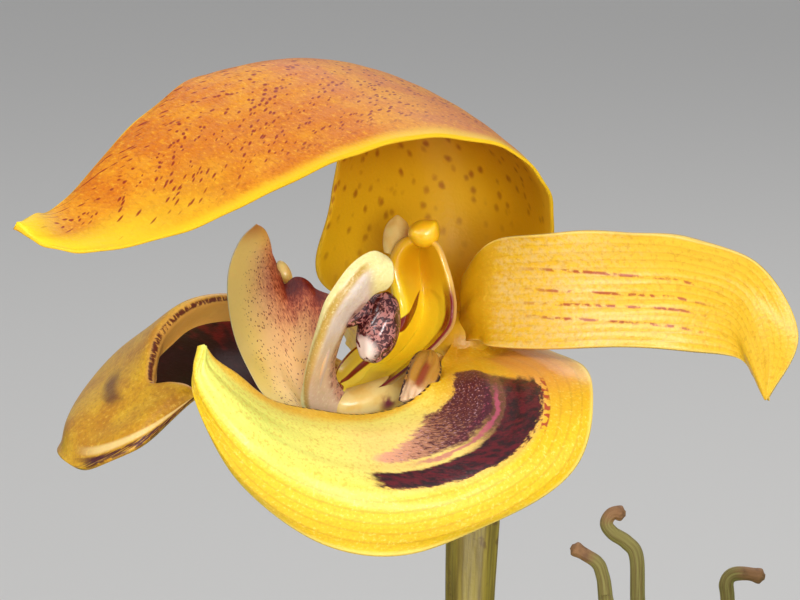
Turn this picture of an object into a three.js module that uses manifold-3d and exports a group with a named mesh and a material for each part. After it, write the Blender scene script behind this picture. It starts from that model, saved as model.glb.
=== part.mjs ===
// Potted orchid, Bulbophyllum dearei: one flower on a single scape, clustered pseudobulbs
// each with one leathery leaf, spent hooked scapes, and a terracotta pot of bark.
// Millimetres, +Z up, origin at the centre of the pot's underside, viewer at -Y.
import * as THREE from 'three';
import Module from 'manifold-3d';

const wasm = await Module();
wasm.setup();

// Driving dimensions
const GAP = 0.3;                       // clearance left between neighbouring pieces
const POT_H = 95;                      // pot height
const POT_RIM_R = 58.5;                // outer radius of the rim
const POT_FOOT_R = 41;                 // outer radius of the underside
const SOIL_Z = 83;                     // mean height of the bark surface
const RHIZOME_R = 3.0;                 // creeping stem radius
const FLOWER = [0, -25, 208];          // centre of the flower
const VIEW_TILT = -12;                 // degrees; the flower's points are laid out facing a viewer 12 degrees above
const TEPAL_T = 0.8;                   // thickness of sepals and petals
const LEAF_T = 1.1;                    // leaf blade thickness

// Pseudobulbs with their leaves: foot x, y, height, radius, lean x, y (mm), then the leaf's
// heading, length, half width, rise at its foot and at its tip (degrees), and bend sideways
const SHOOTS = [
  [-38, 12, 29, 6.4, -4, 2, 160, 110, 16, 84, 32, -8],
  [-25, 3, 31, 6.8, -3, -3, 238, 106, 18, 76, -2, 8],
  [-10, 9, 30, 6.6, -2, 4, 100, 98, 18, 46, -30, 8],
  [3, 17, 28, 6.2, 0, 4, 66, 98, 17, 44, -28, -10],
  [16, 4, 32, 7.0, 4, -3, -26, 114, 18, 76, 26, -6],
  [29, -7, 30, 6.6, 4, -3, -70, 102, 17, 76, -4, 8],
  [39, 7, 26, 5.8, 4, 2, 46, 98, 16, 66, -10, -8],
];

const V = (x, y, z) => new THREE.Vector3(x, y, z);
const rad = (d) => d * Math.PI / 180;
const mix = (a, b, t) => a + (b - a) * t;

// Repeatable random numbers between 0 and 1
function seeded(seed) {
  let s = seed >>> 0;
  return () => {
    s = (s + 0x6D2B79F5) >>> 0;
    let t = Math.imul(s ^ (s >>> 15), 1 | s);
    t = (t + Math.imul(t ^ (t >>> 7), 61 | t)) ^ t;
    return ((t ^ (t >>> 14)) >>> 0) / 4294967296;
  };
}

// Closed body from vertices and triangles, turned to face outward
function body(verts, tris) {
  let vol = 0;
  for (const [a, b, c] of tris) vol += verts[a].dot(V(0, 0, 0).crossVectors(verts[b], verts[c]));
  const g = new THREE.BufferGeometry();
  g.setAttribute('position', new THREE.Float32BufferAttribute(verts.flatMap((p) => [p.x, p.y, p.z]), 3));
  g.setIndex(tris.flatMap(([a, b, c]) => (vol > 0 ? [a, b, c] : [a, c, b])));
  return g;
}

function toSolid(g) {
  return new wasm.Manifold(new wasm.Mesh({
    numProp: 3,
    vertProperties: Float32Array.from(g.attributes.position.array),
    triVerts: Uint32Array.from(g.index.array),
  }));
}

// Largest connected piece of a solid, as a geometry
function fromSolid(solid) {
  const parts = solid.decompose().sort((a, b) => b.volume() - a.volume());
  const m = parts[0].simplify(0.01).getMesh();
  const g = new THREE.BufferGeometry();
  const pos = [];
  for (let i = 0; i < m.vertProperties.length; i += m.numProp) {
    pos.push(m.vertProperties[i], m.vertProperties[i + 1], m.vertProperties[i + 2]);
  }
  g.setAttribute('position', new THREE.Float32BufferAttribute(pos, 3));
  g.setIndex(Array.from(m.triVerts));
  return g;
}

const cut = (g, ...tools) => fromSolid(tools.reduce((s, t) => s.subtract(toSolid(t)), toSolid(g)));
const join = (...gs) => fromSolid(gs.slice(1).reduce((s, t) => s.add(toSolid(t)), toSolid(gs[0])));

// Smooth curve through points at parameter t from 0 to 1
function along(points) {
  const c = new THREE.CatmullRomCurve3(points.map((p) => V(...p)), false, 'catmullrom', 0.5);
  return (t) => c.getPoint(Math.min(Math.max(t, 0), 1));
}

// Surface through three or five rails: u runs along them, v across from the first to the last
function railed(rails) {
  const curves = rails.map(along);
  return (u, v) => {
    const p = curves.map((c) => c(u));
    if (p.length === 3) {
      return p[0].multiplyScalar((1 - v) * (1 - 2 * v))
        .addScaledVector(p[1], 4 * v * (1 - v)).addScaledVector(p[2], v * (2 * v - 1));
    }
    return along(p.map((q) => q.toArray()))(v);
  };
}

// Thin closed blade over a surface that ends in a point at u = 1; grow swells it all round
function blade(surface, nu, nv, thick, grow = 0) {
  const P = [];
  for (let i = 0; i <= nu; i++) {
    P.push([]);
    for (let j = 0; j <= nv; j++) P[i].push(surface(i / nu, j / nv));
  }
  const push = (p, from) => p.clone().add(V(0, 0, 0).subVectors(p, from).setLength(grow));
  if (grow > 0) {
    for (let i = 0; i < nu; i++) [P[i][0], P[i][nv]] = [push(P[i][0], P[i][1]), push(P[i][nv], P[i][nv - 1])];
    for (let j = 0; j <= nv; j++) P[0][j] = push(P[0][j], P[1][j]);
    const tip = push(P[nu][0], P[nu - 1][Math.round(nv / 2)]);
    for (let j = 0; j <= nv; j++) P[nu][j] = tip;
  }
  const normal = (i, j) => {
    const k = Math.min(i, nu - 1);
    const a = V(0, 0, 0).subVectors(P[Math.min(k + 1, nu)][j], P[Math.max(k - 1, 0)][j]);
    const b = V(0, 0, 0).subVectors(P[k][Math.min(j + 1, nv)], P[k][Math.max(j - 1, 0)]);
    return a.cross(b).normalize();
  };
  const W = nv + 1;
  const rows = nu * W;
  const top = [];
  const low = [];
  for (let i = 0; i < nu; i++) {
    for (let j = 0; j <= nv; j++) {
      const n = normal(i, j);
      const t = thick(i / nu, j / nv) / 2 + grow;
      top.push(P[i][j].clone().addScaledVector(n, t));
      low.push(P[i][j].clone().addScaledVector(n, -t));
    }
  }
  const nTip = normal(nu - 1, Math.round(nv / 2));
  const tTip = thick(1, 0.5) / 2 + grow;
  const verts = [...top, P[nu][0].clone().addScaledVector(nTip, tTip),
    ...low, P[nu][0].clone().addScaledVector(nTip, -tTip)];
  const L = rows + 1;
  const at = (i, j) => (i < nu ? i * W + j : rows);
  const tris = [];
  for (let i = 0; i < nu; i++) {
    for (let j = 0; j < nv; j++) {
      const q = [at(i, j), at(i + 1, j), at(i + 1, j + 1), at(i, j + 1)];
      const faces = i < nu - 1 ? [[q[0], q[1], q[2]], [q[0], q[2], q[3]]] : [[q[0], q[1], q[3]]];
      for (const f of faces) tris.push(f, [f[0] + L, f[2] + L, f[1] + L]);
    }
  }
  const rim = [];
  for (let j = nv; j > 0; j--) rim.push([at(0, j), at(0, j - 1)]);
  for (let i = 0; i < nu; i++) rim.push([at(i, 0), at(i + 1, 0)]);
  for (let i = nu; i > 0; i--) rim.push([at(i, nv), at(i - 1, nv)]);
  for (const [a, b] of rim) tris.push([a, a + L, b], [b, a + L, b + L]);
  return body(verts, tris);
}

// Round stem along a path; radius is a function of the share of the way along it, grow is
// added all round and at both ends, and ribs is a waviness around it
function stem(points, radius, steps, sides, grow = 0, ribs = 0, ribCount = 5) {
  const path = along(points);
  const c = [];
  for (let i = 0; i <= steps; i++) c.push(path(i / steps));
  const start = V(0, 0, 0).subVectors(c[0], c[1]).setLength(grow);
  const end = V(0, 0, 0).subVectors(c[steps], c[steps - 1]).setLength(grow);
  c[0].add(start);
  c[steps].add(end);
  let side = null;
  const verts = [];
  for (let i = 0; i <= steps; i++) {
    const d = V(0, 0, 0).subVectors(c[Math.min(i + 1, steps)], c[Math.max(i - 1, 0)]).normalize();
    if (!side) side = Math.abs(d.x) < 0.9 ? V(1, 0, 0) : V(0, 1, 0);
    side = side.clone().addScaledVector(d, -side.dot(d)).normalize();
    const other = V(0, 0, 0).crossVectors(d, side);
    const r = radius(i / steps) + grow;
    for (let k = 0; k < sides; k++) {
      const a = 2 * Math.PI * k / sides;
      const w = r * (1 + ribs * Math.cos(ribCount * a));
      verts.push(c[i].clone().addScaledVector(side, w * Math.cos(a)).addScaledVector(other, w * Math.sin(a)));
    }
  }
  const tris = [];
  for (let i = 0; i < steps; i++) {
    for (let k = 0; k < sides; k++) {
      const k2 = (k + 1) % sides;
      const a = i * sides + k;
      const b = i * sides + k2;
      tris.push([a, b, b + sides], [a, b + sides, a + sides]);
    }
  }
  const s = verts.length;
  verts.push(c[0].clone(), c[steps].clone());
  for (let k = 0; k < sides; k++) {
    const k2 = (k + 1) % sides;
    tris.push([s, k2, k], [s + 1, steps * sides + k, steps * sides + k2]);
  }
  return body(verts, tris);
}

// Body turned about Z from a profile that starts and ends on the axis
function turned(profile, sides) {
  const g = new THREE.LatheGeometry(profile.map(([r, z]) => new THREE.Vector2(r, z)), sides);
  g.rotateX(Math.PI / 2);
  const raw = g.attributes.position;
  const n = profile.length;
  const verts = [];
  const index = [];
  for (let k = 0; k < sides; k++) {
    for (let i = 0; i < n; i++) {
      const onAxis = profile[i][0] === 0;
      if (onAxis && k > 0) index.push(index[i]);
      else {
        index.push(verts.length);
        verts.push(V(raw.getX(k * n + i), raw.getY(k * n + i), raw.getZ(k * n + i)));
      }
    }
  }
  const tris = [];
  for (let k = 0; k < sides; k++) {
    const k2 = (k + 1) % sides;
    for (let i = 0; i < n - 1; i++) {
      const a = index[k * n + i];
      const b = index[k * n + i + 1];
      const c = index[k2 * n + i];
      const d = index[k2 * n + i + 1];
      if (a !== c) tris.push([a, b, c]);
      if (b !== d) tris.push([c, b, d]);
    }
  }
  return body(verts, tris);
}

// Egg-shaped body with three half-lengths, turned by Euler angles in degrees
function egg(centre, radii, turn = [0, 0, 0], rows = 8, sides = 12) {
  const profile = [];
  for (let i = 0; i <= rows; i++) {
    const a = Math.PI * i / rows;
    profile.push([i === 0 || i === rows ? 0 : Math.sin(a), -Math.cos(a)]);
  }
  const g = turned(profile, sides);
  g.scale(...radii);
  g.rotateX(rad(turn[0]));
  g.rotateY(rad(turn[1]));
  g.rotateZ(rad(turn[2]));
  g.translate(...centre);
  return g;
}

const part = new THREE.Group();
part.name = 'potted_bulbophyllum';
const flower = new THREE.Group();
flower.name = 'flower';
flower.position.set(...FLOWER);
flower.rotation.x = rad(VIEW_TILT);
part.add(flower);

function piece(parent, name, geometry, color, roughness) {
  geometry.computeVertexNormals();
  const m = new THREE.Mesh(geometry, new THREE.MeshStandardMaterial({ color, roughness, metalness: 0 }));
  m.name = name;
  parent.add(m);
  return m;
}

// Places a point of the flower's layout in the plant's frame
const tilt = new THREE.Matrix4().makeRotationX(rad(VIEW_TILT)).setPosition(...FLOWER);
const placed = (p) => V(...p).applyMatrix4(tilt).toArray();

// Pot: tapered wall, stepped rim band, solid middle of the floor with three drain holes
{
  const shell = turned([
    [0, 0], [POT_FOOT_R - 1.2, 0], [POT_FOOT_R, 1.2], [52.2, 76], [56.2, 76.6], [57.2, 78],
    [POT_RIM_R, POT_H - 1.4], [POT_RIM_R - 1.2, POT_H], [54.2, POT_H], [53, POT_H - 1.4],
    [37.2, 8], [35.4, 6.2], [0, 6.2],
  ], 44);
  const drains = [30, 150, 270].map((a) => {
    const x = 19 * Math.cos(rad(a));
    const y = 19 * Math.sin(rad(a));
    return stem([[x, y, -2], [x, y, 9]], () => 4.5, 1, 14);
  });
  piece(part, 'pot', cut(shell, ...drains), 0xb8683f, 0.85);
}

// Rhizome: a creeping stem half sunk in the bark, with roots that run out over it and dive in
const RHIZOME = [[-43, 12, SOIL_Z + 1.5], ...SHOOTS.map(([x, y]) => [x, y, SOIL_Z + 3.4]), [47, 3, SOIL_Z + 1.8]];
const rhizomeBody = (grow) => stem(RHIZOME,
  (t) => (RHIZOME_R + 0.3 * Math.cos(t * 60)) * Math.min(1, 0.55 + 9 * Math.min(t, 1 - t)), 32, 8, grow);
const rootPaths = [];
{
  const rnd = seeded(11);
  for (let k = 0; k < 8; k++) {
    const [x, y] = SHOOTS[k % SHOOTS.length];
    const heading = rad(k % 2 ? 70 + 90 * (rnd() - 0.5) : -80 + 100 * (rnd() - 0.5));
    const reach = 14 + 9 * rnd();
    const dx = Math.cos(heading);
    const dy = Math.sin(heading);
    rootPaths.push([
      [x, y, SOIL_Z + 3.2],
      [x + dx * reach * 0.35 + dy * 1.5, y + dy * reach * 0.35 - dx * 1.5, SOIL_Z + 2.6],
      [x + dx * reach * 0.75 - dy * 2, y + dy * reach * 0.75 + dx * 2, SOIL_Z + 1.2],
      [x + dx * reach, y + dy * reach, SOIL_Z - 3.5],
    ]);
  }
}
const roots = (grow) => rootPaths.map((p) => stem(p, (t) => 1.0 - 0.3 * t, 5, 5, grow));
const creeping = join(rhizomeBody(0), ...roots(0));

// Scape, its sheaths, and the ovary that carries the flower
const SCAPE_TOP = [5.0, 9.6, -29];
const scapePath = [
  [6, -11, SOIL_Z - 6], [6.4, -12, 100], [5.2, -14, 122], [3.6, -16, 146], placed([4.2, 10.5, -40]), placed(SCAPE_TOP)];
const sheaths = [0.1, 0.3, 0.52, 0.9];
const scapeRadius = (t) => {
  let r = mix(1.9, 1.5, t);
  for (const s of sheaths) {
    const d = (t - s) / 0.075;
    if (d > 0 && d < 1) r += 0.35 + 0.6 * d * d;
  }
  return r;
};
const ovaryPath = [
  [4.9, 9.9, -33], [5.0, 9.3, -28], [5.2, 8.6, -20], [5.6, 8.4, -13], [6.5, 7.8, -8], [6.3, 6.0, -4.2], [5.1, 4.0, -2.6]];
const ovaryRadius = (t) => 1.25 + 0.75 * Math.sin(Math.min(1, t * 1.5) * Math.PI / 2) - 0.35 * Math.max(0, t - 0.9) / 0.1;
const ovary = (grow) => stem(ovaryPath, ovaryRadius, 16, 12, grow, 0.05, 6);
const receptacle = (grow) => egg([5.0, 3.9, -2.6], [2.0 + grow, 1.7 + grow, 1.9 + grow], [20, 0, 0], 6, 10);
const ovaryBody = join(ovary(0), receptacle(0));

const ovaryInPlant = ovary(GAP);
ovaryInPlant.applyMatrix4(tilt);
const scape = cut(stem(scapePath, scapeRadius, 44, 10), ovaryInPlant);

// Spent scapes whose tips hook over behind the flower
const SPENT = [
  { foot: [13, 17], tip: [[17.0, 50, -26], [17.1, 50, -20.5], [17.8, 50, -17.9], [19.3, 50, -17.4], [20.5, 50, -18.9], [20.6, 50, -21.5]] },
  { foot: [19, 15], tip: [[14.4, 46, -29], [14.5, 46, -23], [15.2, 46, -21], [16.5, 46, -20.7], [17.5, 46, -22.1], [17.6, 46, -24]] },
  { foot: [30, 9], tip: [[27, 50, -30], [27.2, 50, -25], [27.8, 50, -23], [29.1, 50, -22.5], [30.2, 50, -23.7], [30.4, 50, -26]] },
];
SPENT.forEach((s, k) => {
  const low = placed(s.tip[0]);
  s.path = [[s.foot[0], s.foot[1], SOIL_Z - 5], [s.foot[0], s.foot[1] + 0.5, SOIL_Z + 16],
    [mix(s.foot[0], low[0], 0.45), mix(s.foot[1], low[1], 0.5) + 1.5, mix(SOIL_Z, low[2], 0.6)],
    ...s.tip.map(placed)];
  piece(part, `spent_scape_${k + 1}`, stem(s.path, (t) => mix(1.0, 0.8, t) + 0.45 * Math.exp(-(((t - 0.97) / 0.04) ** 2)), 22, 6),
    0xa08c52, 0.7);
});

// Pseudobulbs on the rhizome and their leaves
const bulbBodies = SHOOTS.map(([x, y, h, r, lx, ly], k) => {
  const z0 = SOIL_Z + 4.6;
  const swell = (t) => r * (0.42 + 0.62 * Math.sin(Math.PI * Math.pow(Math.min(t, 0.999), 0.8)) ** 0.9 - 0.12 * t);
  return {
    foot: [x, y, z0],
    top: [x + lx, y + ly, z0 + h],
    geometry: (grow) => stem([[x, y, z0], [x + lx * 0.3, y + ly * 0.3, z0 + h * 0.35],
      [x + lx * 0.65, y + ly * 0.65, z0 + h * 0.7], [x + lx, y + ly, z0 + h]],
    swell, 9, 12, grow, 0.05, 5 + (k % 2)),
  };
});
bulbBodies.forEach((b, k) => {
  const tools = [rhizomeBody(GAP + 0.2), ...roots(GAP)];
  if (k > 0) tools.push(bulbBodies[k - 1].geometry(GAP));
  piece(part, `pseudobulb_${k + 1}`, cut(b.geometry(0), ...tools), 0x7f8f3c, 0.5);
});

// Leaf: a stalk that opens into a keeled oblong blade and arches over
function leafSurface([, , , , lx, ly, heading, length, half, rise0, rise1, bend], top) {
  const steps = 40;
  const pts = [];
  const dirs = [];
  let p = V(...top).addScaledVector(V(lx, ly, 30).normalize(), GAP + 0.2);
  for (let i = 0; i <= steps; i++) {
    const s = i / steps;
    const rise = rad(rise0 + (rise1 - rise0) * s ** 1.4 + (88 - rise0) * Math.exp(-16 * s));
    const head = rad(heading + bend * s);
    const d = V(Math.cos(rise) * Math.cos(head), Math.cos(rise) * Math.sin(head), Math.sin(rise));
    pts.push(p.clone());
    dirs.push(V(-Math.sin(head), Math.cos(head), 0));
    p = p.clone().addScaledVector(d, length / steps);
  }
  const widths = (s) => {
    const stalk = 1.5 + 0.3 * s;
    const b = Math.min(Math.max((s - 0.12) / 0.88, 0), 1);
    return stalk * (1 - b) + half * Math.sin(Math.PI * b ** 0.8) ** 0.65;
  };
  return (u, v) => {
    const f = Math.min(u * steps, steps - 1e-6);
    const i = Math.floor(f);
    const c = pts[i].clone().lerp(pts[i + 1], f - i);
    const side = dirs[i].clone().lerp(dirs[i + 1], f - i);
    const d = V(0, 0, 0).subVectors(pts[i + 1], pts[i]).normalize();
    const up = V(0, 0, 0).crossVectors(d, side).normalize();
    const w = u > 0.9999 ? 0 : widths(u);
    const q = 2 * v - 1;
    return c.addScaledVector(side, w * q).addScaledVector(up, w * (0.24 * q * q) + 0.35 * Math.sin(u * 19 + q * 2) * q * q);
  };
}
const leafThick = (u, v) => (u < 0.14 ? mix(2.4, 1.5, u / 0.14) : LEAF_T) * (1 - 0.25 * Math.abs(2 * v - 1));
SHOOTS.forEach((s, k) => {
  piece(part, `leaf_${k + 1}`, blade(leafSurface(s, bulbBodies[k].top), 16, 4, leafThick), 0x4c7a2c, 0.42);
});
piece(part, 'rhizome', creeping, 0x8a7a4a, 0.75);
piece(part, 'scape', scape, 0x8b8b46, 0.55);

// Bark that fills the pot: a lumpy top with grooves for the rhizome and holes for the stems
{
  const sides = 32;
  const rings = [[6.5, 0], [6.5, 34.8], [8, 36.7], [SOIL_Z - 2, 50.2], [SOIL_Z, 46], [SOIL_Z, 36], [SOIL_Z, 26], [SOIL_Z, 17],
    [SOIL_Z, 8], [SOIL_Z, 0]];
  const rnd = seeded(5);
  const verts = [];
  const start = [];
  rings.forEach(([z, r], i) => {
    start.push(verts.length);
    const lump = i > 3 ? 1 : 0;
    const n = r === 0 ? 1 : sides;
    for (let k = 0; k < n; k++) {
      const a = 2 * Math.PI * (k + (lump ? 0.5 * (rnd() - 0.5) : 0)) / sides;
      const rr = r + lump * 2.4 * (rnd() - 0.5);
      verts.push(V(rr * Math.cos(a), rr * Math.sin(a), z + lump * 2.4 * (rnd() - 0.5)));
    }
  });
  const tris = [];
  for (let i = 0; i < rings.length - 1; i++) {
    for (let k = 0; k < sides; k++) {
      const k2 = (k + 1) % sides;
      const a = start[i];
      const b = start[i + 1];
      if (rings[i][1] === 0) tris.push([a, b + k, b + k2]);
      else if (rings[i + 1][1] === 0) tris.push([a + k, b, a + k2]);
      else tris.push([a + k, b + k, b + k2], [a + k, b + k2, a + k2]);
    }
  }
  const holes = [stem([[6, -11, SOIL_Z - 6.3], [6.4, -12, 100]], () => 2.3 + GAP, 1, 10),
    ...SPENT.map((s) => stem([[s.foot[0], s.foot[1], SOIL_Z - 5.3], [s.foot[0], s.foot[1] + 0.5, SOIL_Z + 16]], () => 1.15 + GAP, 1, 10))];
  piece(part, 'medium', cut(body(verts, tris), rhizomeBody(GAP), ...roots(GAP), ...holes), 0x5b4230, 0.95);
}

// Flower: laid out facing the viewer; x right, y away, z up

// Dorsal sepal: a wide hood over the column that narrows to a long tip on the left
const DORSAL = [
  [[3.6, 6.2, -1.5], [-1.4, 8.5, -0.6], [-5.9, 6.5, 1.6], [-4.9, 4, 7.6], [-4.3, 2, 12.2], [-6.8, 1, 14.9],
    [-11.3, -4, 16.2], [-14.9, -9, 15], [-19, -15, 10.9], [-22.5, -20, 6.5], [-25.3, -24, 4.9]],
  [[5.2, 6.8, -1.8], [5.4, 11, 0.4], [5.1, 12.5, 4.8], [4.1, 11, 10], [1.8, 8, 13.9], [-2.2, 3, 16.2],
    [-7, -4, 16.6], [-12.7, -11, 13.1], [-17.2, -17, 9.1], [-21.6, -21.5, 5.2], [-25.3, -24, 4.9]],
  [[6.6, 5, -1.5], [10.2, 5.5, -0.4], [11, 3.5, 4.4], [10.5, 0, 8], [7.6, -4, 10.6], [2.1, -8, 11.3],
    [-3.4, -12, 9.9], [-8.8, -17, 7.3], [-14, -21, 4.7], [-19.7, -24, 3.3], [-25.3, -24, 4.9]],
];

// Lateral sepals: crescents that swing out below the column and back in to their tips
const NEAR_SEPAL = [
  [[3.4, 1.2, -5.4], [3.3, -3.5, -5.1], [2.9, -6, -5.7], [1.7, -8, -6.5], [-0.3, -8.5, -7.4], [-2.9, -9, -7.9],
    [-5.7, -10, -7.8], [-8.6, -12, -6.9], [-11, -14, -5.5], [-12.4, -15.5, -4.1], [-13.3, -17, -3]],
  [[4.9, 3, -5.6], [6.4, -2.2, -4.7], [7.8, -7, -5.8], [8.1, -10.5, -8.3], [6.1, -13, -10.7], [2, -14, -12.4],
    [-2.7, -15, -12.6], [-7.1, -16, -11.2], [-10.6, -17, -8.8], [-12.8, -17, -5.7], [-13.3, -17, -3]],
  [[6.6, 3.6, -4.8], [10.4, 2.5, -3.6], [13, -3, -4.9], [13.3, -9, -7.6], [11.7, -11, -11.6], [6.8, -12.5, -15.1],
    [0.7, -13, -17.2], [-5.6, -14, -16.1], [-10.5, -15.5, -11.9], [-13.2, -16.5, -7.1], [-13.3, -17, -3]],
];
const EAR = [
  [[1.4, -7.8, -7.2], [0.5, -7, -6.1], [0.4, -6, -4.8], [1.7, -4.5, -3.6]],
  [[1.8, -8.2, -7.1], [1.6, -8, -6.1], [1.5, -7, -4.7], [1.7, -4.5, -3.6]],
  [[2.2, -7.8, -7], [2.6, -7, -5.9], [2.7, -6, -4.8], [1.7, -4.5, -3.6]],
];
const FAR_SEPAL = [
  [[2.3, 5.6, -5.2], [-1.1, 9, -6], [-6.1, 11, -4.1], [-9.8, 10.5, -0.9], [-12.8, 8, -0.2], [-15.4, 6, -0.6],
    [-17.5, 4, -2.6], [-18.1, 2.5, -4.9], [-18, 1.5, -6.4], [-16.7, 0.5, -6.5], [-15.5, 0, -6.6], [-14.5, 0, -6.9]],
  [[3.1, 6.4, -5.9], [-1.1, 10.5, -8], [-6.3, 13.5, -7.1], [-10.6, 14.5, -4.6], [-13.8, 14, -3.4], [-17.2, 13.5, -2.6],
    [-20.2, 12, -3.7], [-22.4, 9, -6.5], [-22.8, 4, -8.7], [-21.1, 1, -9.8], [-17.8, -1, -8.8], [-14.5, 0, -6.9]],
  [[4.2, 6.8, -6.5], [-0.6, 10, -10], [-7.1, 12, -10.4], [-11.2, 15, -8.6], [-13.9, 16, -7.1], [-17.8, 18, -6.4],
    [-21.2, 18, -7.6], [-23.5, 13, -9.7], [-24.5, 4.5, -10.9], [-22.5, 0, -11.9], [-18.8, -2, -10.6], [-14.5, 0, -6.9]],
];

// Petals: broad bands spread to both sides, the near one with its tip bent down
const NEAR_PETAL = [
  [[5.9, 2, -0.9], [5.8, -0.2, 2.9], [7.2, -1, 4.5], [11, -3.2, 4.8], [15.6, -4.6, 4.8], [20.2, -6, 4.3],
    [24.7, -7.5, 1.9], [27.2, -9, -2.8], [25.3, -11, -6.9]],
  [[6.1, 2, -1.8], [5.3, 0.2, 0.5], [7.1, -0.4, 0.5], [11, -2.2, 0.6], [15.4, -3.6, 0.7], [20.2, -5, 0.6],
    [23.5, -6.8, -0.6], [24.7, -8.8, -3.5], [25.3, -11, -6.9]],
  [[5.9, 2.1, -2.7], [5, -0.2, -2.2], [6.8, -1.2, -3.3], [11, -3.2, -3.5], [15.4, -4.6, -3.3], [20.2, -6, -3.5],
    [23.4, -7.4, -4], [24.6, -9.2, -5.3], [25.3, -11, -6.9]],
];
const FAR_PETAL = [
  [[2.6, 4.6, -1.8], [1.2, 8, -2], [-0.8, 12.5, -1], [-2.4, 16.5, 1.5], [-3.6, 21, 3.6], [-4.4, 25, 4.8],
    [-5, 28, 4.4], [-5, 29.5, 2.5]],
  [[2.4, 4.6, -2.5], [1, 8, -3.4], [-0.6, 12.5, -3.4], [-2, 17, -1.8], [-3.2, 21.5, 0], [-4, 25.5, 1.2],
    [-4.6, 28.2, 2], [-5, 29.5, 2.5]],
  [[2.6, 4.6, -3.4], [1.2, 7.8, -4.5], [-0.8, 12, -5.6], [-2.4, 16.5, -5.2], [-3.6, 21, -3.9], [-4.4, 25, -2.4],
    [-5, 28, 0], [-5, 29.5, 2.5]],
];

// Lip: a folded trough whose two wings meet in a keel, hinged to the column foot by a claw
const LIP = [
  [[-9.5, -3, 5.2], [-11.4, -3.5, 3.5], [-12.1, -4, 0.1], [-11.5, -4.5, -3], [-10.1, -5, -5.8], [-8.1, -5.5, -7.9], [-6.6, -5, -9.3]],
  [[-8.7, -4.5, 2.7], [-9.7, -6, 1], [-10.1, -6.5, -1.3], [-9.6, -7, -3.8], [-8.8, -6.5, -6.1], [-7.6, -6, -8], [-6.6, -5, -9.3]],
  [[-6.6, -6.5, 1.3], [-6.7, -8, -0.3], [-6.9, -8.5, -2.2], [-7.2, -8, -4.3], [-7.2, -7, -6.3], [-7.1, -6, -8], [-6.6, -5, -9.3]],
  [[-2.6, -9.5, 0.6], [-3.6, -10.5, -0.1], [-4.7, -10.5, -1.7], [-5.6, -10, -4], [-6.2, -8.5, -6.1], [-6.6, -6.5, -8], [-6.6, -5, -9.3]],
  [[-0.8, -12.5, 2.6], [-3.1, -14, 1.9], [-4.7, -14, -0.5], [-5.5, -13, -3.3], [-6.1, -10.5, -5.8], [-6.5, -7.5, -7.7], [-6.6, -5, -9.3]],
];
const CLAW = [[-4.4, -4.8, -7.4], [-5.4, -5.6, -6.6], [-5.7, -6.5, -4.9], [-5.1, -7.5, -3], [-3.8, -8, -1.6], [-1.8, -8.5, -1.5]];

// Column: a stout hooded post whose foot runs down and forward as an open channel
const COLUMN = [
  [[2.6, -0.5, 4.1], [3.3, -1, 2.7], [3.8, -1.5, 0.7], [3.9, -2, -1.1], [3.3, -2.8, -2.9], [1.8, -3.8, -4.4],
    [-0.2, -4.8, -5.7], [-2.2, -5.4, -6.7], [-4.4, -5, -6.5]],
  [[1.3, 2, 4.1], [1.4, 3.5, 2.7], [1.8, 4, 0.7], [2.2, 3.5, -1.3], [1.8, 2, -3.1], [0.1, 0, -4.4],
    [-1.6, -1.8, -5.5], [-3.2, -3.4, -6.2], [-4.4, -5, -6.5]],
  [[-0.3, 1.5, 4.1], [-0.8, 1.5, 2.7], [-0.3, 1.5, 0.7], [0.1, 1, -1.1], [-0.3, 0, -2.4], [-1.6, -1, -3.6],
    [-3, -2, -4.8], [-3.9, -3, -5.6], [-4.4, -5, -6.5]],
];

const tepal = (rails, nu, nv, t = TEPAL_T) => blade(railed(rails), nu, nv, () => t);
const capBody = (grow) => egg([1.8, 0.6, 4.9], [1.3 + grow, 1.3 + grow, 1.0 + grow], [0, 8, 0], 6, 10);
const columnBody = (grow) => blade(railed(COLUMN), 12, 6, (u) => mix(1.7, 1.0, u), grow);

const dorsal = cut(tepal(DORSAL, 22, 8), receptacle(GAP), ovary(GAP));
const column = cut(columnBody(0), receptacle(GAP), capBody(GAP));
const nearSepal = cut(join(tepal(NEAR_SEPAL, 22, 6), tepal(EAR, 5, 4, 0.7)), receptacle(GAP), ovary(GAP), columnBody(GAP));
const farSepal = cut(tepal(FAR_SEPAL, 22, 6), receptacle(GAP), ovary(GAP), columnBody(GAP));
const nearPetal = cut(tepal(NEAR_PETAL, 16, 4), receptacle(GAP), ovary(GAP), columnBody(GAP));
const farPetal = cut(tepal(FAR_PETAL, 14, 4), receptacle(GAP), ovary(GAP), columnBody(GAP));
const lip = cut(join(
  blade(railed(LIP), 12, 8, (u) => mix(1.1, 0.9, u)),
  stem(CLAW, (t) => mix(0.65, 0.95, t), 8, 7),
  egg([-1.4, -8.5, -1.9], [1.5, 1.5, 2.5], [0, 12, 0], 6, 8),
  egg([-3.7, -9.4, -0.7], [1.6, 1.1, 1.2], [0, 0, 0], 5, 7),
), columnBody(GAP));

piece(flower, 'ovary', ovaryBody, 0x8d8640, 0.5);
piece(flower, 'dorsal_sepal', dorsal, 0xd99a2b, 0.5);
piece(flower, 'lateral_sepal_near', nearSepal, 0xe3c23c, 0.5);
piece(flower, 'lateral_sepal_far', farSepal, 0xc98d2a, 0.5);
piece(flower, 'petal_near', nearPetal, 0xe2c437, 0.5);
piece(flower, 'petal_far', farPetal, 0xe2c437, 0.5);
piece(flower, 'column', column, 0xd9b93a, 0.4);
piece(flower, 'anther_cap', capBody(0), 0xe0a52e, 0.4);
piece(flower, 'lip', lip, 0xd8c48a, 0.4);

export default part;
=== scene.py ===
"""Potted orchid, Bulbophyllum dearei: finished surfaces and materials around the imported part.

Flower organs are laid out in millimetres in a frame that faces the viewer (x right, y away,
z up) and are then placed in the plant's frame, which has its origin under the pot, in metres.
"""

import math

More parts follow.
